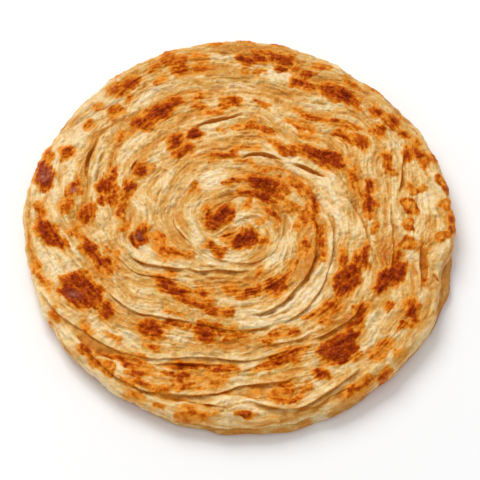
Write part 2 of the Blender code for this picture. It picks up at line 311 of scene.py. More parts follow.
# More lines that the coil's turns follow, where no layer ends.
FLOW = (
    # The heart.
    ((-13, 2), (-9, 6), (-4, 8.6), (1, 9), (6, 8), (10, 5.5), (12.5, 2)),
    ((-13, -4), (-8, -7), (-2, -8.6), (4, -8.6), (9, -6.6), (12, -3)),
    ((-20, 12), (-14, 16), (-7, 17.6), (0, 17.6), (8, 16.3), (14, 13.5), (20, 8.5), (23, 3)),
    ((-21, 24), (-15, 26.8), (-8, 27.8), (0, 27.6)),
    ((-30, -3), (-28, -9), (-24, -13), (-17, -16), (-8, -18.5)),
    ((-31, 14), (-33, 8), (-34, 2), (-34.5, -4), (-33, -10), (-29, -14.5)),
    # The front.
    ((-38, -25), (-31, -27), (-23, -30), (-14, -31), (-5, -30.5), (3, -29.5), (11, -27), (18, -22.5)),
    ((-42, -33), (-33, -34), (-24, -35.5), (-14, -37), (-5, -37.5), (3, -36.8)),
    ((-48, -42), (-40, -45), (-31, -46), (-22, -47.5), (-13, -49.5), (-5, -49.5)),
    ((-46, -50), (-37, -52.5), (-28, -53.5), (-18, -53.7), (-8, -54)),
    ((-45, -62), (-36, -64), (-28, -65), (-18, -65.6), (-8, -65), (1, -63.8), (10, -61.5), (20, -58)),
    ((-22, -68.7), (-12, -68), (-3, -66.3), (7, -64.5), (18, -61.6), (28, -58)),
    ((-62, -57), (-55, -64), (-46, -71), (-36, -76), (-25, -80), (-12, -82.4), (0, -83), (12, -82),
     (24, -79.5)),
    ((7, -71), (14, -72), (22, -71.4), (30, -68), (37, -63.5)),
    ((-4, -41), (5, -40.8), (13, -39), (20, -36)),
    # The left.
    ((-80, 12), (-78, 2), (-74, -6), (-69, -14), (-64, -21), (-58, -28), (-52, -34)),
    ((-84, 10), (-84, -2), (-82.5, -13), (-79, -23), (-74.5, -32), (-69, -39)),
    ((-70, 24), (-69, 14), (-68, 6), (-66, -2), (-62, -9), (-57.5, -15), (-52.5, -21)),
    ((-62, 14), (-62.5, 6), (-61, -2), (-57, -8), (-53, -14), (-48.5, -20)),
    ((-53, 24), (-55, 14), (-54, 5), (-52, -3), (-50.5, -9)),
    ((-74, -22), (-69, -29), (-63, -35), (-56, -41), (-50, -46)),
    ((-77, 34), (-79, 26), (-80, 18), (-80, 10)),
    # The right.
    ((46, 26), (48.5, 18), (50, 10), (51, 2), (52.3, -6), (52.5, -14), (50, -22), (46, -30)),
    ((39, 18), (41, 10), (42, 2), (42.5, -5), (42, -12), (39.5, -19)),
    ((56, 22), (57.5, 12), (56.5, 2), (56, -8), (55.5, -17), (52, -27), (47, -36)),
    ((66, -16), (64.5, -25), (60.5, -33), (55.5, -42), (49, -51), (41, -58)),
    ((75, -18), (74, -27), (70.5, -36), (66, -44), (60.5, -52), (53, -59.5), (44, -65)),
    ((80, 14), (81.5, 4), (81.5, -6), (80, -16), (77, -27), (73, -37)),
    ((68, 30), (69, 20), (69, 10), (68, 0), (67.5, -8)),
    ((46, 60), (53, 54), (59, 47.5), (64, 40), (67, 32)),
)

# Scorch marks: where, how long and wide in millimetres, and how dark. A mark lies along the coil
# unless it has a sixth number, the slant of its length in degrees.
SCORCH = (
    # The heart and the first two turns.
    (-8, 2.5, 14, 7, 0.95, 42), (-12, 7, 3, 3, 0.5), (1, -7.5, 12, 8.5, 0.95, 12), (9, -8, 6, 3, 0.6, 20),
    (5, -2.5, 3, 2, 0.4), (-10, -11, 9, 4, 0.65, -30), (3, 8, 4, 3, 0.5), (12, 4, 10, 3, 0.55, -60),
    (8, 2, 3, 2, 0.4), (8, 12.8, 18, 3.2, 0.98, -16), (11, 16.8, 18, 6, 0.9, -22), (-1, 20, 3, 1.5, 0.5),
    (4, 20.5, 3, 1.5, 0.5), (16, 20.5, 2, 2, 0.4), (-5, 18.5, 4, 2.5, 0.35), (-18, 15.5, 2.5, 4, 0.3, 0),
    (24, 16, 12, 2.5, 0.7, -45), (28.5, 7, 9, 3, 0.85, -70), (30.5, -1, 6, 2.5, 0.85, -80),
    (32, -8, 6, 3, 0.75, -80), (33, -14, 5, 2, 0.5), (21, 7, 6, 3, 0.6, -30), (26, 2, 5, 3, 0.55),
    (23.5, -1, 4, 2.5, 0.45), (25, -11, 8, 3, 0.5, 80), (8, 26, 16, 1.2, 0.5, -15), (7, -21, 4, 2.5, 0.4),
    (20, -19.5, 4, 2, 0.35), (3, -30, 10, 4, 0.8), (14, -27, 12, 4.5, 0.8, 40), (-4, -29, 6, 4, 0.4),
    (-26, -28.5, 18, 6, 0.85, -35), (-14.5, -30, 5, 3.5, 0.8), (-31, -7, 8, 4, 0.5),
    (-31, -12, 6, 3, 0.55, -30), (-24, -13.5, 12, 2.5, 0.5, -10), (-27, -21, 4, 1.5, 0.4),
    (-12, -37, 16, 5, 0.7, -15), (-25, -38.5, 8, 1.5, 0.3),
    # The back.
    (-29, 81, 8, 3, 0.6, 25), (-9, 85, 7, 3.5, 0.55), (2, 86, 7, 3, 0.6), (17, 85, 9, 3, 0.65, -5),
    (3, 76, 8, 5, 0.85), (8, 77, 5, 4, 0.85), (11, 79.5, 12, 2, 0.4), (13, 78, 4, 3, 0.75),
    (19, 76, 7, 4, 0.9), (17, 72, 5, 3, 0.85), (22, 71, 4, 4, 0.75), (27, 69, 5, 5, 0.7),
    (24, 65, 6, 4, 0.9), (28, 63, 6, 3, 0.75), (2, 71, 3, 2, 0.3), (8, 70, 4, 2, 0.4),
    (-25, 72, 7, 5, 0.65, -60), (-24, 77, 4, 3, 0.45), (-17, 77.5, 7, 4, 0.4), (-16, 72, 8, 4, 0.45),
    (-32, 66.5, 5, 3, 0.6), (-16, 58.5, 5, 2.5, 0.45), (-17, 54, 5, 3, 0.65), (-3, 56, 8, 3.5, 0.65),
    (-11, 51.5, 7, 3, 0.55, 20), (9, 56, 6, 3, 0.35), (-33, 51, 22, 6.5, 0.95, 33),
    (-37.5, 44.5, 6, 4, 0.85, 60), (-26, 37.5, 6, 4, 0.85), (-18.5, 40.5, 6, 6, 0.95),
    (-23, 33, 7, 4.5, 0.85, 25), (4, 44, 6, 4, 0.75), (11, 43, 7, 4, 0.7), (-1, 42.5, 3, 2, 0.35),
    (-7, 43, 3, 2, 0.25), (30, 48.5, 10, 2.5, 0.85, -18), (38, 46.5, 22, 2.5, 0.65, -19),
    (42, 40, 8, 3, 0.8, -30), (48, 37, 6, 4, 0.7, -30), (23, 45, 10, 2, 0.6, -16), (27, 40.5, 6, 2, 0.4),
    (23, 51.5, 5, 1, 0.35), (18, 34.5, 12, 3.5, 0.8, -18), (28, 32, 10, 5.5, 0.9, -25),
    (36, 29.5, 14, 8, 0.9, -30), (45, 22, 7, 3, 0.8, -60), (46, 15, 6, 1.5, 0.4), (-2, 33.5, 4, 2, 0.5),
    (4, 34.5, 5, 1, 0.5), (-7, 30, 9, 3, 0.75, 5),
    # The left.
    (-46, 64, 14, 6, 0.75, 30), (-41, 69, 3, 2, 0.4), (-35, 72.5, 4, 3.5, 0.5), (-29, 77, 8, 6, 0.35),
    (-51, 70, 7, 3, 0.35, 35), (-50, 51.5, 7, 5, 0.65, -70), (-45, 57, 4, 2.5, 0.45),
    (-57, 54, 5, 3, 0.35, 80), (-61, 46, 5, 4, 0.55, 60), (-69, 33, 6, 5, 0.6),
    (-77.5, 30, 12, 4, 0.55, 80), (-47.5, 39.5, 5, 3, 0.5, 70), (-77, 22, 13, 7, 0.95, 80),
    (-65.5, 17, 7, 4, 0.9, 80), (-68, 9, 6, 3.5, 0.55, 70), (-53, 18, 9, 5, 0.85, 65),
    (-54, 10, 7, 4, 0.9, 80), (-50, 23, 6, 3, 0.75, 70), (-50, 12, 8, 4, 0.6, 80), (-44, 16, 9, 4, 0.9, 70),
    (-46, 9, 8, 3, 0.85, 75), (-47.5, 4, 5, 2.5, 0.8), (-46, -1, 4, 2, 0.6), (-39, 23.5, 6, 4.5, 0.85, 20),
    (-61, 4, 8, 6, 0.8, 70), (-64.5, -3.5, 4, 3, 0.5), (-56.5, -13.5, 21, 5, 0.85, -50),
    (-79.5, 7, 8, 3, 0.6, 85), (-75, -4, 16, 7, 0.85, -45), (-38.5, -5, 9, 5, 0.9, 80),
    (-80, -18, 5, 3, 0.45), (-76, -24, 8, 3, 0.3, -60), (-49, -15, 8, 1.2, 0.4, -55),
    (-62, -29, 18, 13, 0.9, -35), (-52, -37, 8, 5, 0.85, -60),
    # The front.
    (-46, -57.3, 16, 2.2, 0.9, -15), (-57.5, -57.5, 12, 3, 0.8, -48), (-51, -63, 5, 3, 0.5),
    (-39, -63, 7, 2.5, 0.85), (-34, -63, 3, 2, 0.4), (-39, -68, 11, 2.2, 0.75, -15),
    (-72, -39, 6, 4, 0.4, -60), (-59, -44, 5, 2, 0.3), (-49, -49, 6, 2, 0.3), (-41, -73.5, 6, 2, 0.4, -25),
    (-31, -78, 6, 2, 0.4), (-35, -46, 12, 7, 0.7), (-27.5, -43, 4, 2, 0.95), (-22, -44, 6, 2, 0.5),
    (-34, -53, 5, 3, 0.35), (-14, -47, 8, 6, 0.85), (-6, -46.5, 8, 2.5, 0.7), (-3, -49.5, 10, 1.6, 0.8, 20),
    (10, -50.5, 2.5, 1.5, 0.9), (14, -49, 5, 2, 0.7), (20, -47.5, 3, 2, 0.7), (17, -45, 2, 1, 0.4),
    (-22, -61.5, 10, 4, 0.8), (-14, -61, 4, 1.5, 0.95), (-7, -63, 11, 3, 0.8, 8),
    (-22, -65.5, 8, 2.5, 0.95), (-27, -65.3, 7, 2, 0.6), (-15, -66.5, 4, 2, 0.4), (-10, -68, 8, 3, 0.35),
    (-5, -66, 4, 2, 0.4), (-21, -70, 8, 1.5, 0.6), (-30, -71, 6, 1.5, 0.7), (10, -62, 10, 2.5, 0.7, 15),
    (15, -61, 5, 2.5, 0.7), (20, -59, 4, 2.5, 0.85), (17, -58, 18, 6, 0.55, 25), (24, -55, 4, 1.5, 0.7, 20),
    (-9, -82, 2, 1, 0.4), (-18, -81.5, 10, 2, 0.6, -8), (-20, -78.5, 6, 2, 0.4), (17, -70, 6, 3.5, 0.6),
    (13, -73, 5, 2, 0.6), (18, -74.5, 8, 2, 0.6), (22, -72.8, 4, 1.5, 0.6), (26, -70.5, 5, 2, 0.35),
    (6, -71, 2, 2, 0.3), (46, -69.5, 11, 2.5, 0.85, 35), (55.5, -63.5, 6, 3, 0.7, 40),
    # The right.
    (31, -63.8, 5, 4.6, 0.85, -20), (71.8, -17, 12, 1.2, 0.65, 88), (51.5, 16.5, 5, 3.5, 0.85),
    (51, 10, 7, 4.5, 0.95, 80), (50.5, 5, 5, 4, 0.6), (58.5, 30.5, 5, 3, 0.8), (60, 26, 7, 3, 0.65, -75),
    (72, 17, 3, 2, 0.3), (83, 4, 5, 3, 0.6), (61, -14, 8, 2.6, 0.7, 80), (59, -23, 17, 6, 0.95, 40),
    (55, -29, 4, 3, 0.9), (48.5, -14, 10, 3.2, 0.8, 68), (47, -17, 6, 5, 0.85),
    (40.2, -14.5, 8, 2.6, 0.8, 85), (41.5, -25, 15, 8.5, 0.95, 65), (36, -36, 8, 4, 0.65, 35),
    (29, -39, 8, 2, 0.55, 30), (33, -42, 5, 3, 0.45), (46, -41, 15, 4, 0.85, 60),
    (38, -54, 14, 11, 0.95, 30), (43, -47, 9, 5, 0.9, 60), (46, -57, 4, 2.5, 0.5),
    (55, -53, 11, 3.5, 0.55, 45), (61, -55, 4, 3, 0.3), (58, -35.5, 4, 4, 0.45), (67, -37, 11, 5, 0.8, -80),
    (66, -43, 4, 3, 0.5), (40, 60, 14, 7, 0.9, -20), (35, 62, 5, 5, 0.85), (47, 56, 7, 3, 0.7, -55),
    (33, 73, 6, 4, 0.35, -20), (45, 67, 6, 3, 0.35, -35), (54.5, 62, 8, 2, 0.35, -40), (55, 51, 5, 4, 0.75),
    (61, 47, 7, 5, 0.7, -70), (56, 43, 5, 5, 0.55), (65.5, 41, 4, 4, 0.75), (67, 32, 6, 4, 0.6, 80),
    (71, 34, 8, 4, 0.75, -65), (74, 29, 6, 3, 0.65, -65), (77.5, 31, 4, 2, 0.6, -65),
)

# Round marks left by small bubbles, brown at their edge and golden within: where, how long and wide,
# how dark, and the slant of the length in degrees.
RINGS = (
    (67, 8.5, 9, 6.4, 0.62, -60), (66.8, -0.5, 5.6, 5, 0.5, 80), (66.3, -8.2, 8, 6.2, 0.6, 20),
    (79, -4.8, 5.4, 4.6, 0.45, 80), (68.4, 16.4, 5, 4.6, 0.55, 0), (80.8, 18.8, 7, 4.4, 0.62, -60),
    (81.2, 9.8, 6, 5, 0.5, 80), (82.3, -2.6, 7, 3.6, 0.6, 70), (53.4, -2.2, 5.4, 3, 0.5, 85),
    (2, -81.3, 8.4, 3.2, 0.6, 0), (62, -43.5, 4.6, 3.8, 0.75, 80),
)

# Smooth golden areas, partly the thin buttery dough's own gold and partly painted shade on walls, under lips
# and in hollows: where, how long and wide, how golden, and the slant of the length in degrees.
GOLDEN = (
    # The heart and the first two turns.
    (-8, 13.5, 20, 5, 0.9, 8), (-18, 10, 12, 5, 0.5, 60), (-21, 2, 14, 4, 0.4, 85),
    (2, 24.5, 22, 3, 0.7, -3), (-14, 26, 14, 4, 0.5, 20), (3, 5, 9, 2, 0.5, 15),
    (11, 8.5, 12, 1.6, 0.8, -35), (15.5, -4, 12, 2.5, 0.6, 90), (11, -12.5, 12, 3, 0.7, 35),
    (0, -14.5, 16, 3, 0.5, 0), (-12, -4.8, 12, 2, 0.6, -10), (-23, -7, 8, 4, 0.4, -50),
    (-24, -16.5, 20, 2.5, 0.6, -10), (-16, -26.3, 16, 2, 0.6, -3), (-13, -22.5, 12, 2, 0.5, 0),
    (-30, -8, 10, 7, 0.5, -20), (27, -3, 26, 4, 0.7, 95), (26.5, -16, 18, 3, 0.7, 70),
    (24, 4, 12, 5, 0.6, -60), (20, 10, 14, 4, 0.6, -40), (20, -24, 14, 3, 0.4, 45),
    (-2, -28.5, 14, 3, 0.5, 0), (33.5, -8, 28, 2.5, 0.9, 92), (30, -24, 12, 3, 0.5, 60),
    # The back.
    (-20, 64, 18, 4.5, 0.9, 15), (-8, 61.8, 12, 2, 0.8, 5), (-14, 50, 26, 3, 0.6, 17),
    (-26, 44.5, 18, 4, 0.6, 35), (-30, 58, 16, 4, 0.7, 25), (13, 59.5, 22, 2.5, 0.5, -15),
    (24, 59, 12, 5, 0.6, -35), (16, 52, 20, 2.5, 0.5, -15), (6, 39.5, 20, 3, 0.4, -3),
    (-14, 29, 24, 4, 0.6, 15), (5, 32.5, 16, 2, 0.6, 0), (2, 49, 14, 4, 0.3, 0), (0, 81, 40, 4, 0.4, 0),
    (26, 79, 20, 5, 0.5, -25), (-22, 79, 20, 6, 0.5, 20), (-10, 73, 16, 3, 0.4, 5),
    (10, 65, 16, 3, 0.3, -12), (30, 52, 20, 3, 0.5, -20), (36, 37, 20, 3, 0.4, -25),
    (44, 30, 18, 3, 0.4, -50),
    # The left.
    (-60, 38, 16, 4, 0.6, 60), (-70, 42, 24, 10, 0.5, 55), (-84, 2, 50, 4, 0.3, 90),
    (-80, -14, 16, 4, 0.5, -80), (-76, -20, 14, 4, 0.6, -60), (-57.5, 17, 10, 2, 0.8, 85),
    (-66, -2, 10, 3, 0.5, -70), (-47.5, -4, 14, 3.5, 0.9, -85), (-46, -12, 12, 3, 0.8, -60),
    (-42, 20, 14, 4, 0.4, 60), (-52, 30, 16, 4, 0.4, 75), (-43, 32, 14, 3, 0.4, 70),
    (-36, 17, 16, 3, 0.5, 45), (-70, -12, 18, 4, 0.4, -50), (-69, 2, 18, 4, 0.3, -80),
    (-64, 28, 14, 4, 0.4, 85), (-71, 24, 12, 3, 0.3, 85), (-38, -17, 16, 2.5, 0.7, -15),
    (-40, -20.5, 14, 2, 0.5, -35), (-32, -11, 12, 4, 0.5, -20), (-45, -30, 26, 3, 0.3, -35),
    # The front.
    (-58, -49, 26, 5, 1.0, -38), (-43, -57.5, 14, 3, 1.0, -12), (-20, -58.8, 30, 1.6, 0.9, 0),
    (-61, -42, 22, 3, 0.4, -35), (-4, -52.5, 18, 5, 0.9, 5), (10, -49.5, 16, 3, 0.4, 15),
    (-6, -42, 18, 2.5, 0.4, 0), (-23, -38, 16, 2.5, 0.6, -8), (2, -36, 14, 3, 0.4, 8),
    (15, -36, 14, 3, 0.3, 40), (-23, -74.3, 24, 3, 1.0, -2), (-5, -72.3, 12, 2.5, 1.0, 0),
    (-11, -77, 10, 1.6, 0.9, -8), (12, -67, 22, 2, 0.7, 10), (20, -64, 14, 3, 0.5, 20),
    (15, -78, 18, 2.6, 1.0, 3), (30, -75, 14, 4, 1.0, 35), (38, -73, 18, 4, 0.9, 30),
    (-44, -66, 16, 3, 0.7, -28), (-37, -69.5, 14, 2, 0.9, -18), (-68, -50, 26, 5, 0.5, -45),
    (-40, -76, 30, 4, 0.5, -25), (0, -84, 50, 3, 0.6, 0), (45, -75, 30, 4, 0.6, 35),
    (38, -42, 14, 2, 0.8, 30), (33, -45.5, 16, 3, 0.5, 30), (45, -30, 20, 4, 0.5, 60),
    (52, -38, 14, 3, 0.5, 50),
    # The right.
    (55, -16, 26, 4.5, 0.7, 85), (59.3, -10, 18, 1.5, 0.7, 88), (79, -27, 28, 4, 0.9, 75),
    (71, -45, 30, 8, 0.5, 60), (62, -56, 24, 6, 0.4, 50), (47, 14, 20, 3, 0.7, -72),
    (62, 9, 24, 3, 0.4, 88), (64.5, 24, 20, 2, 0.8, 88), (75, 0, 30, 5, 0.4, 90), (78, 12, 24, 6, 0.4, 95),
    (68, -25, 14, 5, 0.3, 80), (36, 2, 22, 4, 0.35, 100), (41, -3, 14, 3, 0.4, 90),
    (54, 26, 20, 3, 0.3, -70), (66, 52, 24, 7, 0.5, -50), (45, 66, 24, 6, 0.5, -35),
    (50, 46, 18, 4, 0.4, -45),
)
# Spots of painted sheen inside the darkest marks, a greyish-pink painted reflection, lying along the marks.
SHEEN_SPOTS = (
    (-77, 23, 7, 4.5, 0.9, 75), (-65.5, 16, 3, 2.6, 0.9, 0), (-64.5, -31, 5, 4, 0.6, 0),
    (-39, -5, 3.4, 3, 0.6, 0),
)


def smoothstep(x):
    """0 below 0 and 1 above 1, with a smooth slope between."""
    x = np.clip(x, 0.0, 1.0)
    return x * x * (3 - 2 * x)


def bell(x):
    """1 in the middle, falling smoothly to nothing on both sides."""
    return np.exp(-(x**2))


def rays(bearing):
    """Unit vectors out from the heart."""
    return np.stack([np.cos(bearing), np.sin(bearing)], axis=1)


def polar(points):
    """Each point's distance from the heart, and its bearing in radians."""
    return np.hypot(*points.T), np.arctan2(points[:, 1], points[:, 0])


def round_the_edge(table, bearing, width=2.0):
    """A value given at bearings in degrees, smoothed over width and read at bearings in radians."""
    degrees, values = np.array(table, float).T
    fine = np.arange(720) / 2
    sharp = np.interp(fine, degrees, values, period=360)
    half = round(6 * width)
    kernel = np.exp(-0.5 * (np.arange(-half, half + 1) / (2 * width)) ** 2)
    smooth = np.convolve(np.concatenate([sharp[-half:], sharp, sharp[:half]]), kernel / kernel.sum(), "valid")
    return np.interp(np.degrees(bearing) % 360, fine, smooth, period=360)


def outline(bearing):
    """Radius of the bread's outline, in millimetres."""
    wave = 0.25 * np.sin(23 * bearing + 1.3) + 0.18 * np.sin(37 * bearing + 0.4)
    return RADIUS * round_the_edge(OUTLINE, bearing, 5.0) + wave


def top_outline(bearing):
    """Radius of the top crust's own edge."""
    fray = 0.3 * np.sin(31 * bearing) * np.sin(3 * bearing + 2) + 0.2 * np.sin(53 * bearing + 1)
    return outline(bearing) - round_the_edge(DRAWN_IN, bearing) - np.abs(fray)


# ---------------------------------------------------------------------------------------------
# Lines on the plan


def through(route, step):
    """Points about step apart on the smooth curve through the route's own points."""
    given = np.array(route, float)
    ends = (2 * given[0] - given[1], *given, 2 * given[-1] - given[-2])
    made = []
    for before, a, b, after in zip(ends, ends[1:], ends[2:], ends[3:]):
        count = max(1, round(float(np.linalg.norm(b - a)) / step))
        for t in np.arange(count) / count:
            curve = 2 * a + (b - before) * t + (2 * before - 5 * a + 4 * b - after) * t**2
            made.append((curve + (3 * a - before - 3 * b + after) * t**3) / 2)
    return np.array([*made, given[-1]])


class Beside(NamedTuple):
    """Where points lie beside a line."""

    across: np.ndarray  # distance from the line, positive on its left
    position: np.ndarray  # how far along the line
    length: float
    outwards: np.ndarray  # unit vector from the raised side to the sunken one


def beside(points, line):
    """Where points lie beside a line of short straight steps."""
    starts, steps = line[:-1], np.diff(line, axis=0)
    lengths = np.linalg.norm(steps, axis=1)
    done = np.concatenate([[0.0], np.cumsum(lengths)])
    gap = points[:, None, :] - starts[None, :, :]
    share = np.clip((gap * steps).sum(-1) / lengths**2, 0.0, 1.0)
    off = gap - share[..., None] * steps
    nearest = np.argmin((off**2).sum(-1), axis=1)
    row = np.arange(len(points))
    off, share, run = off[row, nearest], share[row, nearest], steps[nearest]
    side = np.sign(run[:, 0] * off[:, 1] - run[:, 1] * off[:, 0])
    right = np.stack([run[:, 1], -run[:, 0]], axis=1) / lengths[nearest][:, None]
    position = done[nearest] + share * lengths[nearest]
    return Beside(side * np.linalg.norm(off, axis=1), position, float(done[-1]), right)


# ---------------------------------------------------------------------------------------------
# Fields on the plan's grid


def grid_points():
    """Where the grid's points lie, in millimetres."""
    line = np.arange(SIZE) * CELL - HALF
    x, y = np.meshgrid(line, line)
    return x, y


def read(field, points):
    """A field's value at each point, between the grid's own points."""
    place = np.clip((points + HALF) / CELL, 0, SIZE - 1.001)
    cell = place.astype(int)
    part = place - cell
    col, row = cell[:, 0], cell[:, 1]
    u, v = part[:, 0], part[:, 1]
    near = field[row, col] * (1 - u) + field[row, col + 1] * u
    far = field[row + 1, col] * (1 - u) + field[row + 1, col + 1] * u
    return near * (1 - v) + far * v


def blurred(field, width):
    """A field with everything finer than width smoothed away."""
    frequency = np.fft.fftfreq(SIZE, CELL)
    fx, fy = np.meshgrid(frequency, frequency)
    keep = np.exp(-2 * (math.pi * width) ** 2 * (fx**2 + fy**2))
    return np.fft.ifft2(np.fft.fft2(field) * keep).real


def evened(field):
    """A field moved and scaled to a mean of 0 and a spread of 1."""
    return (field - field.mean()) / field.std()


def mottle(seed, width):
    """Even noise whose patches are about width across, with a spread of 1."""
    white = np.random.default_rng(seed).standard_normal((SIZE, SIZE))
    return evened(blurred(white, width / 2.5) - blurred(white, width))


def coil_correction():
    """What to add to a plain spiral so that its turns run along the folds, as smoothly as can be.

    It is solved for on a coarse grid. Along each short step of a fold the sum should not change, and
    between the folds it should not bend.
    """
    spacing = 3.0
    stiffness = 0.06  # how strongly the sum is kept from bending
    count = int(2 * HALF / spacing) + 1
    rows = []
    for route in (*(fold.route for fold in FOLDS), *FLOW):
        line = through(route, 1.5)
        spots, steps = (line[1:] + line[:-1]) / 2, np.diff(line, axis=0)
        steps /= np.linalg.norm(steps, axis=1)[:, None]
        around = np.stack([-spots[:, 1], spots[:, 0]], axis=1) / (2 * math.pi)
        reach = np.hypot(*spots.T)[:, None]
        climb = ((spots / (reach * COIL_PITCH) + around / reach**2) * steps).sum(1)
        cell = ((spots + HALF) / spacing).astype(int)
        u, v = ((spots + HALF) / spacing - cell).T
        a, b = steps.T
        here = cell[:, 1] * count + cell[:, 0]
        near = (-a * (1 - v) - b * (1 - u), a * (1 - v) - b * u)
        far = (b * (1 - u) - a * v, a * v + b * u)
        shares = np.stack([*near, *far], axis=1)
        rows.append((here[:, None] + np.array([0, 1, count, count + 1]), shares / spacing, -climb))
    middle = np.arange(count * count).reshape(count, count)[1:-1, 1:-1].ravel()
    bend = np.array([-1, 1, -count, count, 0])
    pull = stiffness * np.array([1, 1, 1, 1, -4])
    rows.append((middle[:, None] + bend, np.tile(pull, (len(middle), 1)), np.zeros(len(middle))))
    total = np.eye(count * count) * 1e-6
    wanted = np.zeros(count * count)
    for places, shares, aim_for in rows:
        np.add.at(total, (places[:, :, None], places[:, None, :]), shares[:, :, None] * shares[:, None, :])
        np.add.at(wanted, places, shares * aim_for[:, None])
    solved = np.linalg.solve(total, wanted).reshape(count, count)
    gx, _ = grid_points()
    column = np.clip((gx[0] + HALF) / spacing, 0, count - 1.001)
    left = column.astype(int)
    part = column - left
    wide = solved[:, left] * (1 - part) + solved[:, left + 1] * part
    tall = wide[left] * (1 - part[:, None]) + wide[left + 1] * part[:, None]
    return blurred(tall, 1.8)


class Coil:
    """The turns of the coil: which turn each spot of the plan belongs to, and which way it runs."""

    def __init__(self):
        x, y = grid_points()
        reach = np.hypot(x, y) + 1e-6
        correction = coil_correction()
        dy, dx = np.gradient(correction, CELL)
        dx = dx + x / (reach * COIL_PITCH) - y / (2 * math.pi * reach**2)
        dy = dy + y / (reach * COIL_PITCH) + x / (2 * math.pi * reach**2)
        size = np.hypot(dx, dy) + 1e-9
        self.correction = correction
        self.run = (-dy / size, dx / size)

    def turns(self, x, y):
        """How many turns of the coil lie between the heart and each spot."""
        plain = (np.hypot(x, y) - COIL_START) / COIL_PITCH + np.arctan2(y, x) / (2 * math.pi)
        return plain + read(self.correction, np.stack([x, y], axis=1))

    def across(self, x, y):
        """Distance out from the heart, bent so that it stays the same along a fold."""
        return np.hypot(x, y) + COIL_PITCH * read(self.correction, np.stack([x, y], axis=1))

    def smeared(self, field, reach, step=0.5):
        """A field drawn out along the coil by reach each way."""
        total, weight = field.copy(), 1.0
        count = max(1, round(reach / step))
        for way in (1, -1):
            place = np.stack(np.meshgrid(*[np.arange(SIZE, dtype=float)] * 2, indexing="ij"))
            row, col = place.astype(int)
            for k in range(count):
                place[0] += way * self.run[1][row, col] * step / CELL
                place[1] += way * self.run[0][row, col] * step / CELL
                row, col = np.clip(np.rint(place).astype(int), 0, SIZE - 1)
                share = 1 - (k + 1) / (count + 1)
                total += share * field[row, col]
                weight += share
        return evened(total / weight)


class Skin(NamedTuple):
    """Everything that shapes and colours the dough's surface, as fields on the plan's grid."""

    coil: Coil
    silk: np.ndarray  # the finest lines in the dough, along the coil
    pleat: np.ndarray  # pleats about a millimetre wide
    band: np.ndarray  # bundles of pleats
    broad: np.ndarray  # slow changes from pale to golden
    flake: np.ndarray  # thin broken leaves, with sharp edges
    chip: np.ndarray  # smaller ones
    wrinkle: np.ndarray  # sharp little ridges
    lump: np.ndarray  # blisters and dents
    crinkle: np.ndarray  # the finest roughness, the same every way


def stepped(field, sharp=0.18):
    """Levels with a sharp edge between them."""
    return evened(np.tanh((field - 0.25) / sharp) + 0.7 * np.tanh((field + 0.9) / sharp) + 0.35 * field)


def make_skin():
    coil = Coil()
    return Skin(
        coil,
        silk=coil.smeared(mottle(11, 0.55), 5.0, 0.25),
        pleat=coil.smeared(mottle(12, 1.2), 6.0),
        band=coil.smeared(mottle(13, 3.0), 13.0, 1.0),
        broad=coil.smeared(mottle(14, 8.0), 16.0, 1.0),
        flake=stepped(coil.smeared(mottle(17, 3.0), 5.5)),
        chip=stepped(coil.smeared(mottle(18, 1.5), 3.0)),
        wrinkle=evened(-np.abs(coil.smeared(mottle(19, 1.9), 3.2)) ** 0.8),
        lump=mottle(15, 5.0),
        crinkle=mottle(16, 1.1),
    )


# ---------------------------------------------------------------------------------------------
# The top crust


def gap_shape(share, open_gap):
    """How wide a fold's floor is, along its length; an open gap is pointed at both ends."""
    middle = np.sin(math.pi * np.clip(share, 0, 1))
    return (0.3 + 0.7 * middle) * middle ** (0.7 * open_gap)


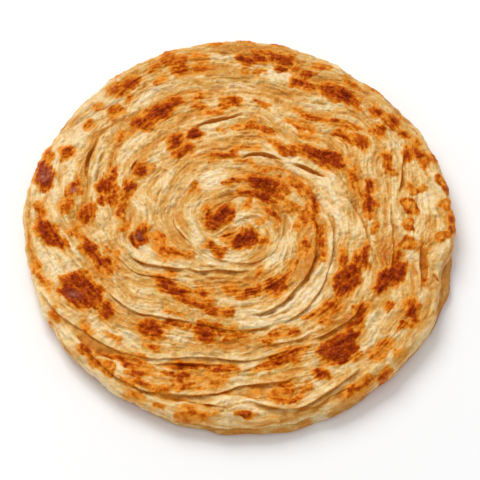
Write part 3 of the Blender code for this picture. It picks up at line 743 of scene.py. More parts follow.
class Relief:
    """What the folds do at each point of the plan.

    lift and drop are heights, and shift is how far a lip hangs over, all in millimetres. The others run
    from 0 to 1: gap on a fold's floor, where shade is painted, well in an open gap, heat where a gap is
    painted dark as browned dough and as shade, lip along a raised edge, where a highlight is painted, and
    seam in the dark line of painted shade under it.
    """

    def __init__(self, points):
        for name in ("lift", "drop", "gap", "well", "heat", "lip", "seam"):
            setattr(self, name, np.zeros(len(points)))
        self.shift = np.zeros((len(points), 2))
        for number, fold in enumerate(FOLDS):
            self.add(points, fold, number)

    def keep_larger(self, near, **made):
        for name, values in made.items():
            field = getattr(self, name)
            field[near] = np.maximum(field[near], values)

    def add(self, points, fold, number):
        line = through(fold.route, 1.0)
        reach = LIP_BACK + 0.5 + fold.shelf + 2.2 * fold.rise
        near = np.flatnonzero(((points > line.min(0) - reach) & (points < line.max(0) + reach)).all(1))
        place = beside(points[near], line)
        across, along = place.across, place.position

        # The fold fades out at both ends, and its height wanders a little between them.
        open_gap = float(smoothstep((fold.drop - 3.3) / 0.4))
        taper = min(6.0, 0.3 * place.length) * (1 - open_gap) + 0.5 * place.length * open_gap
        wobble = 1 + 0.18 * np.sin(along * 0.55 + number) + 0.12 * np.sin(along * 1.3 + 2.1 * number)
        fade = smoothstep(np.minimum(along, place.length - along) / taper) * wobble
        full = np.clip(fade, 0, 1)

        # Across it: the raised layer behind the step, then the floor, then the dough that comes back up.
        step = smoothstep((across + 0.36) / 0.5)
        behind = np.clip(1 - across / LIP_BACK, 0, 1) ** 2
        shelf = fold.shelf * gap_shape(along / place.length, open_gap)
        floor = 1 - smoothstep((-across - shelf) / (fold.rise * (2.2 - 1.2 * open_gap)))
        ease = FLOOR_EASE + (GAP_EASE - FLOOR_EASE) * open_gap
        drop = ease * fold.drop * (1 - step) * floor * fade
        self.keep_larger(near, lift=LIP_EASE * fold.lift * step * behind * fade, drop=drop)

        # The lip hangs over the floor, and the points just under it are drawn back.
        hang = np.where(across > 0.05, np.clip(1.03 - across / 4.0, 0, 1) ** 2, 0)
        hang = np.where((across <= 0.05) & (across > -0.36), 0.92 + 1.6 * across, hang)
        tuck = -0.3 * bell((across + 0.6) / 0.3)
        push = (fold.over * hang + tuck * min(1.0, fold.drop / 2)) * full
        self.shift[near] += place.outwards * push[:, None]

        # What colours it: painted shade on the floor and in the seam under the lip, darker where the gap is
        # browned, and a painted highlight along the lip.
        soft = fold.rise * (0.9 - 0.6 * open_gap)
        inside = 1 - smoothstep((-across - shelf - 0.75 * fold.rise * open_gap) / soft)
        gap = (1 - step) * inside**1.3 * full * min(1.0, fold.drop / 2.2)
        self.keep_larger(near, gap=gap, heat=gap * fold.heat, well=gap * open_gap)
        seam = bell((across + 0.1) / 0.34) * full * min(1.0, fold.drop / 1.6)
        lip = bell((across - 0.7) / 0.7) * full * min(1.0, fold.lift + 0.2)
        self.keep_larger(near, seam=seam * min(1.0, 0.35 + 1.3 * fold.heat), lip=lip)


def oval(off, length, width, along):
    """Where points lie in an oval that is long along an angle: how far along it and across it from its
    middle, and what share of the way from its middle to its edge."""
    u = off[:, 0] * math.cos(along) + off[:, 1] * math.sin(along)
    v = off[:, 1] * math.cos(along) - off[:, 0] * math.sin(along)
    return u, v, np.hypot(u / (length / 2), v / (width / 2))


def inside_oval(off, length, width, along):
    """How deep inside an oval each point lies, in millimetres; negative outside it."""
    u, v, share = oval(off, length, width, along)
    slope = np.hypot(u / (length / 2) ** 2, v / (width / 2) ** 2)
    outside = share * (share - 1) / np.maximum(slope, 1e-6)
    return np.where(share < 1, (1 - share) * min(length, width) / 2, -outside)


def slow_drift(points, skin):
    """Slow wandering noise that keeps the marks from being plain ovals."""
    return np.stack([read(skin.lump, points * 1.3), read(skin.lump, -points)], axis=1)


def scorch_at(points, skin):
    """How dark the griddle has marked each point, and how much it has warmed the dough around."""
    wander = np.stack([read(skin.crinkle, points), read(skin.crinkle, points[:, ::-1] * 0.93)], axis=1)
    moved = points + 0.15 * wander + 0.7 * slow_drift(points, skin)
    run_x, run_y = skin.coil.run
    dark, glow = np.zeros(len(points)), np.zeros(len(points))
    streak = 0.10 * read(skin.pleat, points) + 0.07 * read(skin.silk, points)
    streak += 0.07 * read(skin.wrinkle, points)
    for x, y, length, width, depth, *slant in SCORCH:
        centre = np.array([[x, y]], float)
        coil_run = math.atan2(read(run_y, centre)[0], read(run_x, centre)[0])
        along = math.radians(slant[0]) if slant else coil_run
        reach = length / 2 + 6
        near = np.flatnonzero((np.abs(moved[:, 0] - x) < reach) & (np.abs(moved[:, 1] - y) < reach))
        inside = inside_oval(moved[near] - centre, length, width, along)
        mark = (0.28 + 0.68 * depth) * smoothstep(0.57 + inside / 4.3 + streak[near] * 0.35)
        dark[near] = np.maximum(dark[near], mark)
        glow[near] = np.maximum(glow[near], (0.4 + 0.6 * depth) * smoothstep(0.9 + inside / 6.5))
    for x, y, length, width, depth, slant in RINGS:
        share = oval(moved - (x, y), length, width, math.radians(slant))[2]
        inside = (1 - share) * width / 2
        ring = bell((inside - 0.6) / 0.8)
        dark = np.maximum(dark, depth * (0.5 * smoothstep(0.6 + inside) + 0.5 * ring))
    return np.clip(dark + 0.4 * streak * smoothstep(dark * 2), 0, 1), glow


def patches_at(table, points, skin):
    """How strongly a table's soft patches cover each point, from 0 to 1."""
    moved = points + 0.5 * slow_drift(points, skin)
    bare = np.ones(len(points))
    for x, y, length, width, strength, slant in table:
        reach = 0.9 * length
        near = np.flatnonzero((np.abs(moved[:, 0] - x) < reach) & (np.abs(moved[:, 1] - y) < reach))
        share = oval(moved[near] - (x, y), length, width, math.radians(slant))[2]
        bare[near] *= 1 - strength * np.exp(-1.2 * share**2)
    return 1 - bare


def blunt_arc(turn, blunt):
    """A half circle, made squarer: how far out and how far up each step of its turn is, from 0 to 1."""
    return np.abs(np.sin(turn)) ** blunt, np.sign(np.cos(turn)) * np.abs(np.cos(turn)) ** blunt


def arc_length(inset, height):
    """The length along a profile, up to each of its points."""
    return np.concatenate([[0], np.cumsum(np.hypot(np.diff(inset), np.diff(height)))])


def rim_profile():
    """The top crust's rim, from its shoulder to its foot: the length along it, the distance in from the
    edge, the height, and how far the surface leans outwards."""
    turn = np.linspace(0, math.pi, 81)
    upper = turn <= math.pi / 2
    side, rise = blunt_arc(turn, RIM_BLUNT)
    inset = np.where(upper, RIM_ROUND, RIM_TUCK) * (1 - side)
    height = TOP_EQUATOR + np.where(upper, SHOULDER - TOP_EQUATOR, TOP_EQUATOR - TOP_FOOT) * rise
    return arc_length(inset, height), inset, height, turn


def top_base(points):
    """The plain top under points of the unrolled plan: place, height and outward lean."""
    reach, bearing = polar(points)
    edge = top_outline(bearing)
    flat_reach = RADIUS - RIM_ROUND
    arc, inset, height, turn = rim_profile()
    past = np.clip(reach - flat_reach, 0, arc[-1])
    inner = reach * (edge - RIM_ROUND) / flat_reach
    outer = edge - np.interp(past, arc, inset)
    share = np.clip(reach / flat_reach, 0, 1)
    dome = SHOULDER + (CROWN - SHOULDER) * (1 - share**2.4)
    on_top = reach <= flat_reach
    radial = np.where(on_top, inner, outer)
    z = np.where(on_top, dome, np.interp(past, arc, height))
    lean = np.where(on_top, 0.0, np.interp(past, arc, turn))
    return radial, bearing, z, lean


def unrolled(points):
    """Where points of the real plan lie on the unrolled one, in which the rim is laid out flat."""
    reach, bearing = polar(points)
    edge = top_outline(bearing)
    flat_reach = RADIUS - RIM_ROUND
    arc, inset, _, turn = rim_profile()
    upper = turn <= math.pi / 2
    inner = reach * flat_reach / (edge - RIM_ROUND)
    outer = flat_reach + np.interp(RIM_ROUND - (edge - reach), RIM_ROUND - inset[upper], arc[upper])
    new = np.where(reach <= edge - RIM_ROUND, inner, outer)
    return points * (new / np.maximum(reach, 1e-6))[:, None]


def ring_of(reach, step, offset=0.0):
    """Points about step apart on a circle."""
    count = round(2 * math.pi * reach / step)
    return rays((np.arange(count) + offset) * 2 * math.pi / count) * reach


def fold_points():
    """Rows of points along each fold, on the unrolled plan."""
    rows = []
    for fold in FOLDS:
        line = through(fold.route, FOLD_STEP)
        run = np.gradient(line, axis=0)
        run /= np.linalg.norm(run, axis=1)[:, None]
        left = np.stack([-run[:, 1], run[:, 0]], axis=1)
        rows += [unrolled(line + left * offset) for offset in FOLD_ROWS]
        if fold.drop > OPEN_GAP_DROP:
            shelf = fold.shelf * gap_shape(np.linspace(0, 1, len(line)), 1.0)
            rows += [unrolled(line - left * (shelf + share * fold.rise)[:, None]) for share in GAP_ROWS]
    return np.concatenate(rows)


def even_points(flat_reach):
    """Points spread evenly over the flat part of the plan, a little out of line."""
    rng = np.random.default_rng(5)
    spread = []
    for k, y in enumerate(np.arange(-flat_reach, flat_reach, SKIN_STEP * math.sqrt(3) / 2)):
        x = np.arange(-flat_reach, flat_reach, SKIN_STEP) + (SKIN_STEP / 2 if k % 2 else 0)
        spread.append(np.stack([x, np.full(len(x), y)], axis=1))
    spread = np.concatenate(spread)
    spread += rng.uniform(-0.12, 0.12, spread.shape) * SKIN_STEP
    return spread[np.hypot(*spread.T) < flat_reach - 0.2]


def top_points():
    """Points over the unrolled plan: along the folds, evenly between them, and in rings round the rim."""
    flat_reach = RADIUS - RIM_ROUND
    rim = rim_profile()[0][-1]
    last = flat_reach + rim
    rows = fold_points()
    rows = rows[np.hypot(*rows.T) < last - 1.0]
    _, first_there = np.unique(np.rint(rows / SAME_SPOT).astype(int), axis=0, return_index=True)
    rows = rows[np.sort(first_there)]
    count = round(rim / RIM_STEP)
    rings = [ring_of(flat_reach + rim * k / count, RIM_STEP, (k % 2) / 2) for k in range(count)]
    loose = np.concatenate([even_points(flat_reach), *rings])
    busy = np.zeros((SIZE, SIZE), bool)
    cell = np.clip(np.rint((rows + HALF) / CELL).astype(int), 1, SIZE - 2)
    for dx, dy in ((0, 0), (1, 0), (-1, 0), (0, 1), (0, -1)):
        busy[cell[:, 1] + dy, cell[:, 0] + dx] = True
    where = np.clip(np.rint((loose + HALF) / CELL).astype(int), 0, SIZE - 1)
    inside = np.concatenate([rows, loose[~busy[where[:, 1], where[:, 0]]]])
    cuts = [first for _, first, _ in ROUNDS if first]
    for cut in cuts:
        inside = inside[np.abs(np.hypot(*inside.T) - cut) > CUT_STEP / 2]
    edges = [ring_of(cut, CUT_STEP) for cut in cuts]
    return np.concatenate([inside, *edges, ring_of(last, RIM_STEP)]), last


# How much each kind of line or patch raises the top crust, in millimetres, and turns it golden. The negative
# shares paint the raised lines pale and the hollows between them golden, as painted shade.
FINE_RELIEF = {"pleat": 0.05, "silk": 0.14, "flake": 0.05, "chip": 0.10, "wrinkle": 0.06, "crinkle": 0.13}
TONES = {
    "broad": 0.17, "band": -0.05, "pleat": -0.08, "flake": -0.11, "chip": -0.08, "wrinkle": -0.09,
    "silk": -0.06,
}
PALE_SIDE = math.radians(195)  # the side on which the rim is palest


def top_surface(points, skin):
    """The place of each point of the unrolled plan on the finished top, and what colours it."""
    radial, bearing, z, lean = top_base(points)
    outward = rays(bearing)
    plan = outward * radial[:, None]
    relief = Relief(plan)
    reach = np.hypot(*points.T)
    lines = {name: read(getattr(skin, name), points) for name in Skin._fields[1:]}
    band, broad = lines["band"], lines["broad"]
    scorch, glow = scorch_at(plan, skin)
    # Gold patches, partly painted shade, with a little more gold towards the rim.
    gold = 1 - (1 - patches_at(GOLDEN, plan, skin)) * (1 - 0.1 * smoothstep((reach - 68) / 10))
    # Where the painted sheen goes on the darkest marks.
    sheen_spot = patches_at(SHEEN_SPOTS, plan, skin)
    quiet = 1 - 0.8 * relief.gap
    smooth = (1 - 0.65 * relief.lip) * (1 - 0.6 * gold)

    # The turns of the coil: each swells in its middle, and a crease runs between it and the next.
    turns = skin.coil.turns(plan[:, 0], plan[:, 1])
    off_crease = np.abs((turns + 0.5) % 1.0 - 0.5)
    crease = bell(off_crease / 0.06) * smoothstep(0.55 + 0.5 * band) * smoothstep(reach / 8 - 0.6)
    half_way = np.abs(turns % 1.0 - 0.5)
    thin = bell(half_way / 0.045) * smoothstep(0.3 + 0.6 * broad)
    swell = np.sin(math.pi * (turns % 1.0)) ** 0.6

    # The thin layers that show one over the other round the rim.
    leaves = np.sin(3.1 * z + 0.9 * np.sin(3 * bearing) + 0.8 * band) * smoothstep((lean - 0.6) / 0.6)

    rise = 0.22 * (swell - 0.7) * smoothstep(reach / 10 - 0.6) - 0.4 * crease - 0.2 * thin
    rise += 0.10 * band + 0.08 * lines["lump"]
    rise += sum(share * lines[name] for name, share in FINE_RELIEF.items()) * smooth
    rise = (rise + 0.22 * leaves) * quiet
    rise += relief.lift - relief.drop + 0.3 * scorch + 0.10 * scorch * lines["crinkle"]
    facing_up = np.clip(np.cos(np.minimum(lean, math.pi / 2)), 0, 1)
    rise = np.where(lean > 0, rise * (0.25 + 0.75 * facing_up), rise)
    rise -= np.where(lean > 2.2, rise * smoothstep((lean - 2.2) / 0.8), 0)
    plan = plan + relief.shift * facing_up[:, None]
    plan = plan + outward * (np.sin(lean) * rise)[:, None]
    z = z + np.cos(lean) * rise

    tone = sum(share * lines[name] for name, share in TONES.items())
    pale_rim = smoothstep((reach - 72) / 8) * np.clip(np.cos(bearing - PALE_SIDE), 0, 1)
    return np.column_stack([plan, z]), {
        "scorch": scorch,
        "glow": glow,
        "gap": relief.gap,
        "heat": relief.heat,
        "well": relief.well,
        "gold": gold,
        "sheen_spot": sheen_spot,
        "lip": relief.lip,
        # Painted shade in the coil's creases, the thin line between turns and the seams under the lips.
        "crease": np.maximum(np.clip(0.5 * crease + 0.35 * thin, 0, 1) * quiet, relief.seam),
        "tone": tone - 0.4 * pale_rim - 0.15 * leaves,
        "across": skin.coil.across(plan[:, 0], plan[:, 1]),
    }


def triangulated(flat):
    """Triangles between points on a plan: where their corners lie, and which corners each one joins."""
    made = delaunay_2d_cdt([Vector(p) for p in flat], [], [], 0, 1e-7, False)
    return np.array([v[:] for v in made[0]]), [tuple(face) for face in made[2]]


def point_normals(points, faces):
    """The smooth surface's direction at each point."""
    corners = points[faces]
    area = np.cross(corners[:, 1] - corners[:, 0], corners[:, 2] - corners[:, 0])
    total = np.zeros_like(points)
    for k in range(3):
        np.add.at(total, faces[:, k], area)
    return total / np.maximum(np.linalg.norm(total, axis=1), 1e-12)[:, None]


def skin_mesh(name, points, faces, fields, normals=None):
    """A piece of crust from points in millimetres, which carry what the material reads."""
    mesh = bpy.data.meshes.new(name)
    mesh.from_pydata((points * MM).tolist(), [], faces)
    for label, values in fields.items():
        layer = mesh.attributes.new(label, "FLOAT", "POINT")
        layer.data.foreach_set("value", np.asarray(values, np.float32))
    mesh.shade_smooth()
    if normals is not None:
        mesh.normals_split_custom_set_from_vertices(normals.tolist())
    piece = bpy.data.objects.new(name, mesh)
    bpy.context.scene.collection.objects.link(piece)
    return piece


def in_turn(ring, flat):
    """A ring's points in order of bearing."""
    return sorted(ring, key=lambda point: math.atan2(flat[point][1], flat[point][0]))


def stitched(inner, outer, flat):
    """Triangles between two closed rings of points in order of bearing, facing up."""
    turn = {point: math.atan2(flat[point][1], flat[point][0]) for point in (*inner, *outer)}
    faces, i, j = [], 0, 0
    n, m = len(inner), len(outer)
    while i < n or j < m:
        next_inner = turn[inner[i + 1]] if i + 1 < n else math.pi + (i >= n)
        next_outer = turn[outer[j + 1]] if j + 1 < m else math.pi + (j >= m)
        if j < m and (i >= n or next_outer <= next_inner):
            faces.append((inner[i % n], outer[j % m], outer[(j + 1) % m]))
            j += 1
        else:
            faces.append((inner[i % n], outer[j % m], inner[(i + 1) % n]))
            i += 1
    return faces


def make_round(name, spots, first, last, flat, faces, placed, normals, fields):
    """One closed piece of the top crust: its skin, walls straight down inside the bread, and a flat
    belly."""
    used, skin_faces = np.unique(faces[spots], return_inverse=True)
    made = [tuple(map(int, face)) for face in skin_faces.reshape(-1, 3)]
    whole_flat, whole = flat[used], placed[used]
    reach = np.hypot(*whole_flat.T)
    edges = []
    for cut in (first, last):
        on_cut = np.flatnonzero(np.abs(reach - cut) < 0.004)
        edges.append(in_turn(on_cut.tolist(), whole_flat))
    feet = []
    for edge, outward in zip(edges, (False, True)):
        if outward and last > ROUNDS[-1][1]:
            feet.append(edge)
            continue
        foot = list(range(len(whole), len(whole) + len(edge)))
        feet.append(foot)
        low_edge = whole[edge].copy()
        low_edge[:, 2] = TOP_FOOT
        whole = np.vstack([whole, low_edge])
        whole_flat = np.vstack([whole_flat, whole_flat[edge]])
        for k in range(len(edge)):
            a, b, c, d = edge[k - 1], edge[k], foot[k], foot[k - 1]
            made.append((a, d, c, b) if outward else (a, b, c, d))
    if first:
        made += [face[::-1] for face in stitched(feet[0], feet[1], whole_flat)]
    else:
        whole = np.vstack([whole, [[0.0, 0.0, TOP_FOOT]]])
        made += [(b, a, len(whole) - 1) for a, b in zip(feet[1], feet[1][1:] + feet[1][:1])]
    more = len(whole) - len(used)
    directions = np.vstack([normals[used], np.tile([0.0, 0.0, -1.0], (more, 1))])
    own_fields = {label: np.append(values[used], np.zeros(more)) for label, values in fields.items()}
    return skin_mesh(name, whole, made, own_fields, directions)


def make_top_crust(skin):
    """The upper part of the bread, in rounds that meet along circles and share their shading there."""
    flat, last = top_points()
    corners, made = triangulated(flat)
    faces = np.array(made)
    placed, fields = top_surface(corners, skin)
    normals = point_normals(placed, faces)
    middle = np.hypot(*corners[faces].mean(1).T)
    pieces = []
    for name, first, end in ROUNDS:
        end = end or last
        spots = (middle >= first) & (middle < end)
        pieces.append(make_round(name, spots, first, end, corners, faces, placed, normals, fields))
    return pieces


# ---------------------------------------------------------------------------------------------
# The under crust


def under_profile():
    """The under crust's rim, from the floor to its head: the length along it, the distance in from the
    edge, and the height."""
    side, rise = blunt_arc(np.linspace(0, math.pi, 27), UNDER_BLUNT)
    inset = UNDER_ROUND * (1 - side)
    height = UNDER_EQUATOR + np.where(rise > 0, UNDER_HEAD - UNDER_EQUATOR, UNDER_EQUATOR) * rise
    return arc_length(inset, height), inset[::-1], height[::-1]


def under_points(flat_reach, arc):
    """Points over the unrolled underside: rings over the flat part, and rings up the rim."""
    rings = [np.zeros((1, 2))]
    for k in range(1, int(flat_reach / UNDER_STEP)):
        rings.append(rays(np.arange(6 * k) * 2 * math.pi / (6 * k)) * k * UNDER_STEP)
    for k, reach in enumerate(flat_reach + arc):
        bearing = (np.arange(UNDER_RIM_POINTS) + (k % 2) / 2) * 2 * math.pi / UNDER_RIM_POINTS
        rings.append(rays(bearing) * reach)
    return np.concatenate(rings)


def under_scorch(points, streak):
    """The griddle's marks on the underside, scattered and lying along the coil."""
    rng = np.random.default_rng(8)
    dark = np.zeros(len(points))
    for _ in range(UNDER_MARKS):
        r, a = 80 * math.sqrt(rng.random()), rng.random() * 2 * math.pi
        middle = (r * math.cos(a), r * math.sin(a))
        length, width, depth = rng.uniform(5, 15), rng.uniform(3, 7), rng.uniform(0.4, 0.95)
        share = oval(points - middle, length, width, a + math.pi / 2)[2]
        inside = (1 - share) * width / 2
        dark = np.maximum(dark, depth * smoothstep(0.5 + inside / 2.6 + 0.1 * streak))
    return dark


def make_under_crust(skin):
    """The lower half of the bread. Its underside lies flat, with the coil's creases pressed into it."""
    arc, inset, height = under_profile()
    flat_reach = RADIUS - UNDER_ROUND
    corners, made = triangulated(under_points(flat_reach, arc))
    faces = [face[::-1] for face in made]
    reach, bearing = polar(corners)
    tucked = round_the_edge(TUCKED_IN, bearing)
    edge = outline(bearing) - tucked
    past = np.clip(reach - flat_reach, 0, arc[-1])
    on_floor = reach < flat_reach
    inner, outer = reach * (edge - UNDER_ROUND) / flat_reach, edge - np.interp(past, arc, inset)
    outward = rays(bearing)
    plan = outward * np.where(on_floor, inner, outer)[:, None]
    z = np.where(on_floor, 0.0, np.interp(past, arc, height))

    mirrored = plan * np.array([1, -1])
    lines = (skin.silk, skin.pleat, skin.band, skin.broad, skin.lump)
    silk, pleat, band, broad, lump = (read(field, mirrored) for field in lines)
    coil = 1 - np.abs(np.sin(math.pi * skin.coil.turns(plan[:, 0], plan[:, 1]))) ** 0.7
    press = 0.75 * coil * smoothstep(reach / 10 - 0.6) + 0.22 * np.maximum(band, 0)
    press += 0.2 * np.maximum(pleat, 0) + 0.15 * np.maximum(lump, 0)
    lower = 1 - smoothstep(past / (0.5 * arc[-1]))
    layers = np.sin(z * 4.2 + 1.4 * np.sin(3 * bearing) + band)
    groove = 0.4 * layers * np.sin(np.clip(past / arc[-1], 0, 1) * math.pi)
    plan = plan - outward * np.where(on_floor, 0, 0.35 + groove + 0.12 * band)[:, None]
    z = z + press * np.where(on_floor, 1, lower)

    scorch = under_scorch(plan + 0.5 * np.stack([lump, silk], axis=1), pleat)
    scorch *= np.where(on_floor, 1, 0.6 * lower)
    foot = np.where(on_floor, 0.0, 1.0) * (1 - smoothstep((z - 0.9) / 1.8))
    scorch = np.maximum(scorch, foot * (0.34 + 0.14 * band + 0.1 * lump))
    ledge = np.where(on_floor, 0.0, smoothstep((1.2 - tucked) / 0.8))
    tone = 0.16 * broad + 0.13 * band + 0.10 * pleat
    none = np.zeros(len(corners))
    fields = {
        "scorch": scorch,
        "glow": smoothstep(2 * scorch),
        "gap": none,
        "heat": none,
        "well": none,
        "gold": np.where(on_floor, 0.3 * smoothstep(lump), 0.2 + 0.25 * ledge),
        "sheen_spot": none,
        "lip": none,
        # Painted shade in the coil's creases pressed into the underside, fainter up the rim.
        "crease": np.clip(0.7 * (coil - 0.2), 0, 1) * np.where(on_floor, 1, 0.3),
        "tone": tone + ledge * (0.30 + 0.2 * pleat + 0.15 * lump - 0.6 * groove),
        "across": skin.coil.across(plan[:, 0], plan[:, 1]) + past,
    }
    top = in_turn(np.flatnonzero(reach > reach.max() - 0.05).tolist(), corners)
    centre = len(corners)
    placed = np.vstack([np.column_stack([plan, z]), [0.0, 0.0, UNDER_HEAD]])
    fields = {label: np.append(values, 0.0) for label, values in fields.items()}
    faces += [(a, b, centre) for a, b in zip(top, top[1:] + top[:1])]
    return skin_mesh("under_crust", placed, faces, fields)


# ---------------------------------------------------------------------------------------------
# Materials


def linear(red, green, blue):
    """A colour given as it looks, from 0 to 255, as the shader wants it."""
    made = []
    for value in (red, green, blue):
        value /= 255
        made.append(value / 12.92 if value <= 0.04045 else ((value + 0.055) / 1.055) ** 2.4)
    return (*made, 1.0)


# Colours of the dough, from pale cream through gold to the deep gold that is painted as shade inside creases
# and gaps.
CREAM_TO_SHADED_GOLD = (
    (0.00, linear(247, 223, 180)), (0.15, linear(240, 208, 153)), (0.30, linear(231, 190, 123)),
    (0.42, linear(224, 172, 95)), (0.54, linear(217, 153, 69)), (0.66, linear(209, 134, 46)),
    (0.78, linear(202, 114, 25)), (0.90, linear(186, 80, 4)), (1.00, linear(160, 42, 0)),
)
# Colours where the griddle has browned it, from the orange edge of a mark to its charred middle.
BROWNED = (
    (0.00, linear(235, 157, 58)), (0.12, linear(229, 141, 34)), (0.26, linear(218, 119, 12)),
    (0.42, linear(204, 96, 2)), (0.58, linear(187, 75, 0)), (0.74, linear(168, 56, 0)),
    (0.88, linear(150, 42, 0)), (1.00, linear(128, 27, 0)),
)
# The greyish-pink tint of the painted sheen.
SHEEN_TINT = linear(190, 128, 108)
# What the crusts' points carry for the material.
PAINTED = (
    "scorch", "glow", "gap", "heat", "well", "gold", "sheen_spot", "lip", "crease", "tone", "across",
)


class Graph:
    """Places nodes in a tree and joins them."""

    def __init__(self, tree):
        self.tree = tree

    def add(self, kind, inputs=(), **settings):
        node = self.tree.nodes.new(kind)
        for name, value in settings.items():
            setattr(node, name, value)
        for name, value in dict(inputs).items():
            if isinstance(value, bpy.types.NodeSocket):
                self.tree.links.new(value, node.inputs[name])
            else:
                node.inputs[name].default_value = value
        return node

    def math(self, operation, a, b=0.0):
        return self.add("ShaderNodeMath", {0: a, 1: b}, operation=operation).outputs[0]

    def plus(self, total, *parts):
        """A value with others added to it, each times its own share."""
        for source, share in parts:
            total = self.math("ADD", total, self.math("MULTIPLY", source, share))
        return total

    def without(self, value, share=1.0):
        """What is left of one when a share of a value is taken away."""
        return self.math("SUBTRACT", 1.0, self.math("MULTIPLY", value, share))

    def mix(self, factor, a, b):
        node = self.add("ShaderNodeMix", data_type="RGBA")
        for socket, value in ((node.inputs[0], factor), (node.inputs[6], a), (node.inputs[7], b)):
            if isinstance(value, bpy.types.NodeSocket):
                self.tree.links.new(value, socket)
            else:
                socket.default_value = value
        return node.outputs[2]

    def spread(self, value, low, high, to_low=0.0, to_high=1.0):
        node = self.add("ShaderNodeMapRange", {0: value, 1: low, 2: high, 3: to_low, 4: to_high})
        node.interpolation_type = "SMOOTHSTEP"
        return node.outputs[0]

    def ramp(self, value, stops):
        node = self.add("ShaderNodeValToRGB", {0: value})
        band = node.color_ramp
        band.elements[0].position, band.elements[0].color = stops[0]
        band.elements[1].position, band.elements[1].color = stops[-1]
        for position, colour in stops[1:-1]:
            band.elements.new(position).color = colour
        return node.outputs[0]

    def noise(self, place, size, detail=3.0, rough=0.55):
        inputs = {"Vector": place, "Scale": 1 / (size * MM), "Detail": detail, "Roughness": rough}
        return self.add("ShaderNodeTexNoise", inputs).outputs[0]

    def swing(self, place, size):
        """Noise about zero."""
        return self.math("SUBTRACT", self.noise(place, size, 3.0, 0.6), 0.5)

    def group(self, tree, inputs):
        return self.add("ShaderNodeGroup", inputs, node_tree=tree).outputs

    def attribute(self, name):
        return self.add("ShaderNodeAttribute", attribute_name=name).outputs["Fac"]


# What each socket carries, where it isn't a plain value.
SOCKET_KINDS = {"Place": "NodeSocketVector", "Colour": "NodeSocketColor"}


def make_group(name, build, inputs, outputs):
    """A node group with named sockets; build gets the graph and its inputs, and gives its outputs."""
    tree = bpy.data.node_groups.new(name, "ShaderNodeTree")
    for way, labels in (("INPUT", inputs), ("OUTPUT", outputs)):
        for label in labels:
            kind = SOCKET_KINDS.get(label, "NodeSocketFloat")
            tree.interface.new_socket(label, in_out=way, socket_type=kind)
    graph = Graph(tree)
    entry = graph.add("NodeGroupInput")
    leave = graph.add("NodeGroupOutput")
    for label, socket in build(graph, entry.outputs).items():
        tree.links.new(socket, leave.inputs[label])
    return tree


def strands(graph, given):
    """Noise drawn out along the coil, as the layers of the dough are: wide strands, fine ones, and thin
    leaves that lie over each other like shingles, with an edge where each one ends."""
    parts = graph.add("ShaderNodeSeparateXYZ", {0: given["Place"]}).outputs

    def drawn_out(width, length, detail):
        x = graph.math("MULTIPLY", parts[0], 1 / (length * MM))
        y = graph.math("MULTIPLY", parts[1], 1 / (length * MM))
        out = graph.math("MULTIPLY", given["Across"], 1 / width)
        place = graph.add("ShaderNodeCombineXYZ", {0: out, 1: x, 2: y}).outputs[0]
        inputs = {"Vector": place, "Scale": 1.0, "Detail": detail, "Roughness": 0.6}
        return graph.add("ShaderNodeTexNoise", inputs).outputs[0]

    made = {}
    for label, width, length in (("Wide", 1.2, 7.0), ("Fine", 0.45, 2.8)):
        made[label] = graph.math("SUBTRACT", drawn_out(width, length, 2.0), 0.5)
    layers = graph.math("MULTIPLY", drawn_out(3.2, 12.0, 2.5), 13.0)
    made["Leaf"] = graph.math("FRACT", layers)
    made["Edge"] = graph.spread(made["Leaf"], 0.0, 0.16, 1.0, 0.0)
    return made


def griddle_scorch(graph, given):
    """How far the griddle has browned the dough: an orange halo and a darker, streaky core."""
    ragged, blotch = graph.swing(given["Place"], 1.6), graph.swing(given["Place"], 3.0)
    halo = graph.spread(graph.plus(given["Scorch"], (ragged, 0.10)), 0.05, 0.30)
    rough = graph.math("MULTIPLY", ragged, 0.7)
    rough = graph.plus(rough, (blotch, 1.3), (given["Wide"], 0.6), (given["Fine"], 0.55))
    core = graph.plus(given["Scorch"], (rough, halo))
    return {"Halo": halo, "Core": graph.spread(core, 0.10, 1.28)}


def dough_colour(graph, given):
    """The dough's colour: its gold with painted shade, browned by the griddle, with spots of painted sheen in
    the darkest marks.
    """
    cream_to_shade = graph.ramp(given["Gold"], CREAM_TO_SHADED_GOLD)
    browned = graph.ramp(given["Core"], BROWNED)
    return {"Colour": graph.mix(given["Sheen"], graph.mix(given["Halo"], cream_to_shade, browned), SHEEN_TINT)}


def dough_grain(graph, given):
    """Fine grain of the baked surface, as a height."""
    pores = graph.noise(given["Place"], 0.9, 3.0, 0.6)
    height = graph.math("MULTIPLY", pores, 0.5)
    height = graph.plus(height, (given["Fine"], 1.2), (given["Wide"], 0.6), (given["Leaf"], 0.8))
    crackle = graph.math("MULTIPLY", graph.noise(given["Place"], 1.0, 2.0, 0.6), given["Core"])
    return {"Height": graph.plus(height, (crackle, 2.6))}


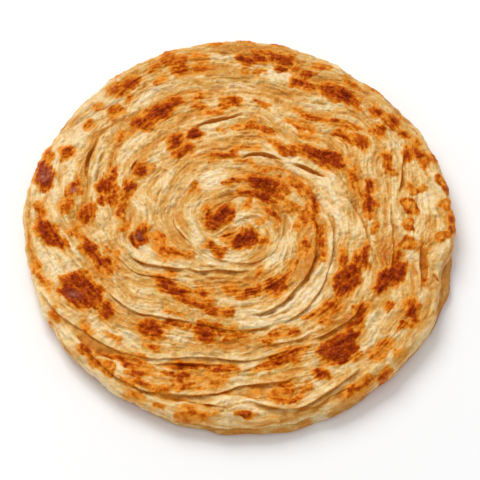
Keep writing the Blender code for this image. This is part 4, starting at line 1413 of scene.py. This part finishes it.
def gold_with_painted_shade(graph, place, strand, painted):
    """How golden the dough is painted, from pale cream at 0 to the deep gold inside a gap at 1: its own gold,
    with painted shade in creases, gaps and the hollows of the grain, and a painted highlight along the lips.
    """
    gold, gap, heat, well = (painted[name] for name in ("gold", "gap", "heat", "well"))
    calm = graph.spread(graph.noise(place, 9.0, 2.0, 0.5), 0.38, 0.62, 0.4, 1.2)
    calm = graph.math("MULTIPLY", calm, graph.without(gold, 0.7))
    done = graph.math("ADD", graph.math("MULTIPLY", painted["tone"], 0.6), 0.30)
    # The strands' hollows are painted golden and their raised lines pale, as painted shade; each leaf's edge
    # gets a thin line of painted shade.
    shares = {"Wide": -0.20, "Fine": -0.44, "Leaf": -0.07, "Edge": 0.12}
    streaks = [(strand[name], share) for name, share in shares.items()]
    for source, share in ((graph.swing(place, 2.2), 0.12), *streaks):
        done = graph.plus(done, (graph.math("MULTIPLY", source, calm), share))
    # A painted highlight along the raised lips.
    done = graph.math("SUBTRACT", done, graph.math("MULTIPLY", painted["lip"], 0.12))
    done = graph.math("MINIMUM", graph.math("MAXIMUM", done, 0.0), 0.50)
    # Painted shade in the creases, and the gold patches, which are partly painted shade.
    done = graph.plus(done, (painted["glow"], 0.15), (gold, 0.22), (painted["crease"], 0.42))
    # Painted shade on the folds' floors; open gaps are painted deep orange-brown, as browned dough and as
    # shade.
    done = graph.plus(done, (graph.spread(gap, 0.02, 0.8), 0.16), (heat, 0.40))
    inside = graph.spread(well, 0.1, 0.5)
    deep = graph.math("ADD", graph.math("MULTIPLY", heat, 0.40), 0.62)
    return graph.plus(graph.math("MULTIPLY", done, graph.without(inside)), (inside, deep))


def make_crust(groups):
    material = bpy.data.materials.new("griddled_crust")
    material.use_nodes = True
    graph = Graph(material.node_tree)
    shader = material.node_tree.nodes["Principled BSDF"]
    place = graph.add("ShaderNodeTexCoord").outputs["Object"]
    painted = {name: graph.attribute(name) for name in PAINTED}
    strand = graph.group(groups["strands"], {"Place": place, "Across": painted["across"]})
    streaks = {"Place": place, "Wide": strand["Wide"], "Fine": strand["Fine"]}
    scorched = graph.group(groups["scorch"], {"Scorch": painted["scorch"], **streaks})
    halo, core = scorched["Halo"], scorched["Core"]
    # The painted sheen, broken up along the fine strands.
    flecks = graph.spread(strand["Fine"], -0.12, 0.1, 0.25, 1.0)
    sheen = graph.math("MULTIPLY", painted["sheen_spot"], flecks)
    gold = gold_with_painted_shade(graph, place, strand, painted)
    colour = graph.group(groups["colour"], {"Gold": gold, "Halo": halo, "Core": core, "Sheen": sheen})
    grain = graph.group(groups["grain"], {"Core": core, "Leaf": strand["Leaf"], **streaks})
    bump = graph.add("ShaderNodeBump", {"Height": grain["Height"], "Strength": 1.0, "Distance": 0.6 * MM})
    oil = graph.spread(graph.noise(place, 0.9, 2.0, 0.6), 0.52, 0.62, 0.0, 0.6)
    oil = graph.math("MULTIPLY", oil, graph.without(halo, 0.75))
    oil = graph.math("MULTIPLY", oil, graph.without(painted["gap"]))
    roughness = graph.spread(graph.noise(place, 1.4, 2.0), 0.42, 0.60, 0.52, 0.22)
    graph.tree.links.new(colour["Colour"], shader.inputs["Base Color"])
    graph.tree.links.new(bump.outputs[0], shader.inputs["Normal"])
    graph.tree.links.new(roughness, shader.inputs["Roughness"])
    graph.tree.links.new(oil, shader.inputs["Coat Weight"])
    shader.inputs["Coat Roughness"].default_value = 0.16
    shader.inputs["Specular IOR Level"].default_value = 0.3
    shader.inputs["Specular Tint"].default_value = (1.0, 0.5, 0.12, 1.0)
    shader.inputs["Subsurface Weight"].default_value = 0.45
    shader.inputs["Subsurface Radius"].default_value = (1.4, 0.55, 0.15)
    shader.inputs["Subsurface Scale"].default_value = 1.0 * MM
    return material


# ---------------------------------------------------------------------------------------------
# The studio


def make_floor():
    mesh = bpy.data.meshes.new("floor")
    half = 1.6
    corners = [(-half, -half, 0), (half, -half, 0), (half, half, 0), (-half, half, 0)]
    mesh.from_pydata(corners, [], [(0, 1, 2, 3)])
    floor = bpy.data.objects.new("floor", mesh)
    bpy.context.scene.collection.objects.link(floor)
    material = bpy.data.materials.new("pale_floor")
    material.use_nodes = True
    shader = material.node_tree.nodes["Principled BSDF"]
    shader.inputs["Base Color"].default_value = (0.96, 0.96, 0.96, 1)
    shader.inputs["Roughness"].default_value = 0.9
    shader.inputs["Specular IOR Level"].default_value = 0.1
    mesh.materials.append(material)


def aim(thing, target):
    away = thing.location - Vector(target)
    thing.rotation_euler = away.to_track_quat("Z", "Y").to_euler()


def make_lamp(name, place, size, power):
    lamp = bpy.data.objects.new(name, bpy.data.lights.new(name, "AREA"))
    lamp.data.shape = "DISK"
    lamp.data.size = size
    lamp.data.energy = power
    lamp.location = place
    aim(lamp, (0, 0, 0))
    bpy.context.scene.collection.objects.link(lamp)


def make_studio():
    scene = bpy.context.scene
    scene.view_settings.view_transform = "Standard"
    world = bpy.data.worlds.new("soft_room")
    world.use_nodes = True
    background = world.node_tree.nodes["Background"]
    background.inputs["Color"].default_value = (1, 1, 1, 1)
    background.inputs["Strength"].default_value = 0.63
    scene.world = world
    make_lamp("window", (-0.50, 0.82, 1.05), size=0.9, power=11.8)
    make_lamp("spark", (-0.14, 0.76, 1.30), size=0.14, power=1.3)
    make_floor()


def make_camera():
    """A long lens that looks down on the front of the bread."""
    elevation = math.radians(62.5)
    distance = 1.10
    drop = 0.9 * MM  # how far below the middle of the bread the camera aims
    camera = bpy.data.objects.new("camera", bpy.data.cameras.new("camera"))
    camera.data.lens = 207.5
    camera.data.sensor_width = 36
    toward = Vector((0, -math.cos(elevation), math.sin(elevation)))
    up = Vector((0, math.sin(elevation), math.cos(elevation)))
    centre = -up * drop
    camera.location = centre + toward * distance
    aim(camera, centre)
    bpy.context.scene.collection.objects.link(camera)
    bpy.context.scene.camera = camera


def main():
    make_camera()
    make_studio()
    skin = make_skin()
    streaks = ("Place", "Wide", "Fine")
    layers = ("Wide", "Fine", "Leaf", "Edge")
    browning = ("Gold", "Halo", "Core", "Sheen")
    groups = {
        "strands": make_group("dough_strands", strands, ("Place", "Across"), layers),
        "scorch": make_group("griddle_scorch", griddle_scorch, ("Scorch", *streaks), ("Halo", "Core")),
        "colour": make_group("dough_colour", dough_colour, browning, ("Colour",)),
        "grain": make_group("dough_grain", dough_grain, ("Core", "Leaf", *streaks), ("Height",)),
    }
    crust = make_crust(groups)
    for piece in (*make_top_crust(skin), make_under_crust(skin)):
        piece.data.materials.append(crust)
        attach(piece, "root")
        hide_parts("paratha")


main()
